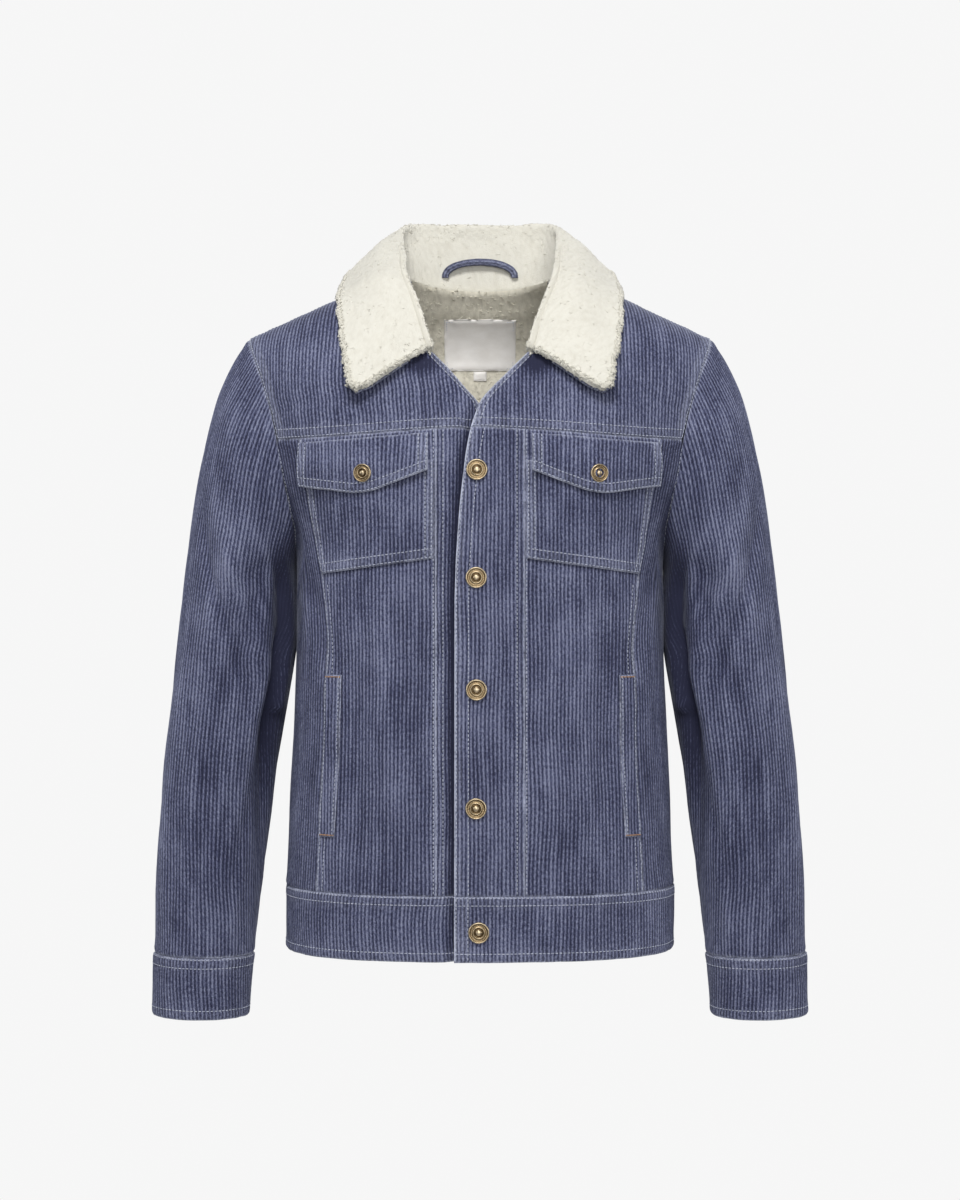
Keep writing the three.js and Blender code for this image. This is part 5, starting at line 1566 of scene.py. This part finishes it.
# its head goes up into the collar's foot
upTo = (1 - smooth(np.linspace(0, 1, liningForm["rows"]) / 0.09))[:, None]
here = here + np.stack([0 * upTo, 1.0 * upTo, 6.5 * upTo], -1)
liningFace = here - normal * (liningDepth + liningWall)
addPile("neck_lining", liningFace, -normal, liningWall, (liningPile, liningPile), liningLumps)
declareCloth("neck_lining", ["back_neck_lining"], "lining")
addCurls("lining_curls", "neck_lining", liningCurl, "lining", **liningCurls)


labelWall = 0.5


# A label on the lining: a thin satin sheet whose outer face looks into the neck
def addLabel(name, nodeName, halfWidth, head, foot, columns, rows, buckle):
    cells = insideCells(halfWidth, halfWidth, lambda x: head + 0 * x, foot, columns, rows)
    here, normal, grain, fold = back(cells)
    u, v = np.linspace(0, 1, columns)[None], np.linspace(0, 1, rows)[:, None]
    wave = buckle * np.sin(math.pi * u) * (0.6 + 0.4 * np.cos(5 * v)) * np.sin(math.pi * v) ** 0.5
    depth = liningDepth + liningWall + 1.3 + labelWall
    points = here - normal * (depth + wave)[..., None]

    def skin(_):
        return points, -normal, grain, 0 * fold
    addCloth(name, cells, skin, (satin, satin), wall=labelWall, relief=0.0)
    declareCloth(name, [nodeName], "satin")


labelForm = {"halfWidth": 31, "head": -25, "foot": -73, "columns": 65, "rows": 44, "buckle": 0.7}
tagForm = {"halfWidth": 5.7, "head": -73.6, "foot": -83, "columns": 17, "rows": 14, "buckle": 0.2}
addLabel("label", "neck_label", **labelForm)
addLabel("tag", "size_tag", **tagForm)
alongWidth, alongHeight = ((0.02, 0.14), (0.86, 0.98)), ((0.03, 0.2), (0.8, 0.97))
labelCorners = {"top": alongWidth, "bottom": alongWidth, "left": alongHeight, "right": alongHeight}
labelLines = [rail("label", edge, 2.2, start, stop, 0.12) for edge, shares in labelCorners.items()
              for start, stop in shares]
sewLines("label_stitches", labelLines, thread, "satin", gauge=0.6, pitch=2.0)

# Hanger loop: a flat tube along an arch, its ends sewn into the neck seam
loopForm = {"halfSpan": 29.5, "height": 13.5, "steps": 90, "columns": 24, "halfWidth": 2.9,
            "halfThickness": 1.7, "wear": 0.08}


def addHangerLoop():
    form = loopForm
    turn = np.linspace(0, math.pi, form["steps"])
    x = -form["halfSpan"] * np.cos(turn)
    y = 46.5 - 9.5 * (np.abs(x) / 48) ** 2 + 2.4 * np.cos(turn) ** 6
    z = 1 + form["height"] * np.sin(turn) ** 0.85
    middle = np.stack([x, y, z], 1)[:, None]
    outward = np.stack([-np.cos(turn) * form["height"], 0 * turn, np.sin(turn) * form["halfSpan"]], 1)
    outward = unit(outward)[:, None]
    around = np.linspace(0, 2 * math.pi, form["columns"] + 1)[:-1][None, :, None]
    ripple = 1 + 0.06 * np.cos(9 * around) + 0.04 * softNoise(turn[:, None, None] * 6, around * 2, 2)
    rings = (middle + outward * form["halfWidth"] * np.cos(around) * ripple
             + np.array([0, 1.0, 0]) * form["halfThickness"] * np.sin(around) * ripple)
    rows, columns = rings.shape[:2]
    length = np.concatenate([[0], np.cumsum(np.linalg.norm(np.diff(middle[:, 0], axis=0), axis=1))])
    faces = gridFaces(rows, columns, closed=True)
    ends = endFans(rows, columns)
    points = np.concatenate([rings.reshape(-1, 3), rings[[0, -1]].mean(axis=1)])
    sideways = np.arange(columns)[None] * 0.62
    uvs = np.concatenate([pair(sideways, length[:, None]).reshape(-1, 2), [[0, 0], [0, 9]]])
    if signedVolume(points, faces) < 0:
        faces, ends = faces[:, ::-1], ends[:, ::-1]
    loopUv = uvs[np.concatenate([faces.ravel(), ends.ravel()])]
    loop = makeMesh("loop", points, [faces, ends], [clothFine], loopUv, np.full(len(points), form["wear"]))
    placePiece(loop, "corduroy", "hanger_loop")


addHangerLoop()
print("collar and neck made")

# Buttons down the front as x, height and how far they stand off; the last one is on the waistband
placketButtons = [(-2.5, -171, 0.5), (-3, -256, 0.5), (-2.8, -345, 0.5), (-3.2, -439, 0.5), (-1, -537, 1.1)]
buttonRadius = {"placket": 8.4, "flap": 7.3}
for number, (buttonX, buttonZ, lift) in enumerate(placketButtons, 1):
    addButton(f"placket_button_{number}", buttonX, buttonZ, buttonRadius["placket"], 1, lift, brass)
for side, sign, buttonX in (("left", 1, 92.7), ("right", -1, -91)):
    addButton(f"flap_button_{side}", buttonX, -173, buttonRadius["flap"], sign, 2 * overlay + 1.8, brass)
sewLines("topstitching", seams, thread)
sewLines("bartacks", bartacks, tanThread, gauge=1.7, pitch=1.5)
print("buttons and stitches made")

# Floor, light and camera, in metres
floorForm = {"z": -0.93, "radius": 0.45, "vertices": 128, "grey": 0.9}
bpy.ops.mesh.primitive_circle_add(vertices=floorForm["vertices"], radius=floorForm["radius"],
                                  fill_type="NGON", location=(0, 0, floorForm["z"]))
floor = bpy.context.object
floor.name = "floor"
floorMaterial, floorShader = newMaterial("floor", 0.9)
floorShader.inputs["Base Color"].default_value = (*[floorForm["grey"]] * 3, 1)
floor.data.materials.append(floorMaterial)

# The camera sees a light grey backdrop, the jacket gets a weak cool sky
backdrop = {"color": (0.925, 0.925, 0.925, 1)}
sky = {"color": (0.95, 0.97, 1.0, 1), "strength": 0.12}
world = bpy.data.worlds.new("studio")
bpy.context.scene.world = world
world.use_nodes = True
tree = world.node_tree
seen = tree.nodes["Background"]
seen.inputs["Color"].default_value = backdrop["color"]
around = tree.nodes.new("ShaderNodeBackground")
around.inputs["Color"].default_value = sky["color"]
around.inputs["Strength"].default_value = sky["strength"]
blend = tree.nodes.new("ShaderNodeMixShader")
rays = tree.nodes.new("ShaderNodeLightPath")
tree.links.new(rays.outputs["Is Camera Ray"], blend.inputs["Fac"])
tree.links.new(around.outputs[0], blend.inputs[1])
tree.links.new(seen.outputs[0], blend.inputs[2])
tree.links.new(blend.outputs[0], tree.nodes["World Output"].inputs["Surface"])

jacketMiddle = np.array([0, 0, -0.3])
lights = {
    "key light": {"at": (-0.2, -1.8, 1.6), "size": 1.0, "power": 46},
    "front light": {"at": (0.3, -2.7, 0.0), "size": 1.2, "power": 26},
    "left light": {"at": (2.3, -0.5, 0.3), "size": 1.3, "power": 15},
    "right light": {"at": (-2.3, -0.5, 0.3), "size": 1.3, "power": 15},
    "back light": {"at": (0.3, 2.2, 1.2), "size": 1.6, "power": 34},
}
for name, light in lights.items():
    lamp = bpy.data.lights.new(name, "AREA")
    lamp.shape = "DISK"
    lamp.size = light["size"]
    lamp.energy = light["power"]
    obj = bpy.data.objects.new(name, lamp)
    bpy.context.scene.collection.objects.link(obj)
    obj.location = light["at"]
    way = jacketMiddle - np.array(light["at"])
    tilt = math.acos(-way[2] / np.linalg.norm(way))
    obj.rotation_euler = (tilt, 0, math.atan2(way[1], way[0]) - math.pi / 2)

photoCamera = {"lens": 71.9, "at": (0, -2.0, -0.2739), "turn": (math.pi / 2, 0, 0)}
cameraData = bpy.data.cameras.new("camera")
cameraData.lens = photoCamera["lens"]
camera = bpy.data.objects.new("camera", cameraData)
bpy.context.scene.collection.objects.link(camera)
camera.location = photoCamera["at"]
camera.rotation_euler = photoCamera["turn"]
bpy.context.scene.camera = camera
bpy.context.scene.view_settings.view_transform = "Standard"

print("triangles", sum(triangleCounts.values()), "most in one piece", max(triangleCounts.values()))
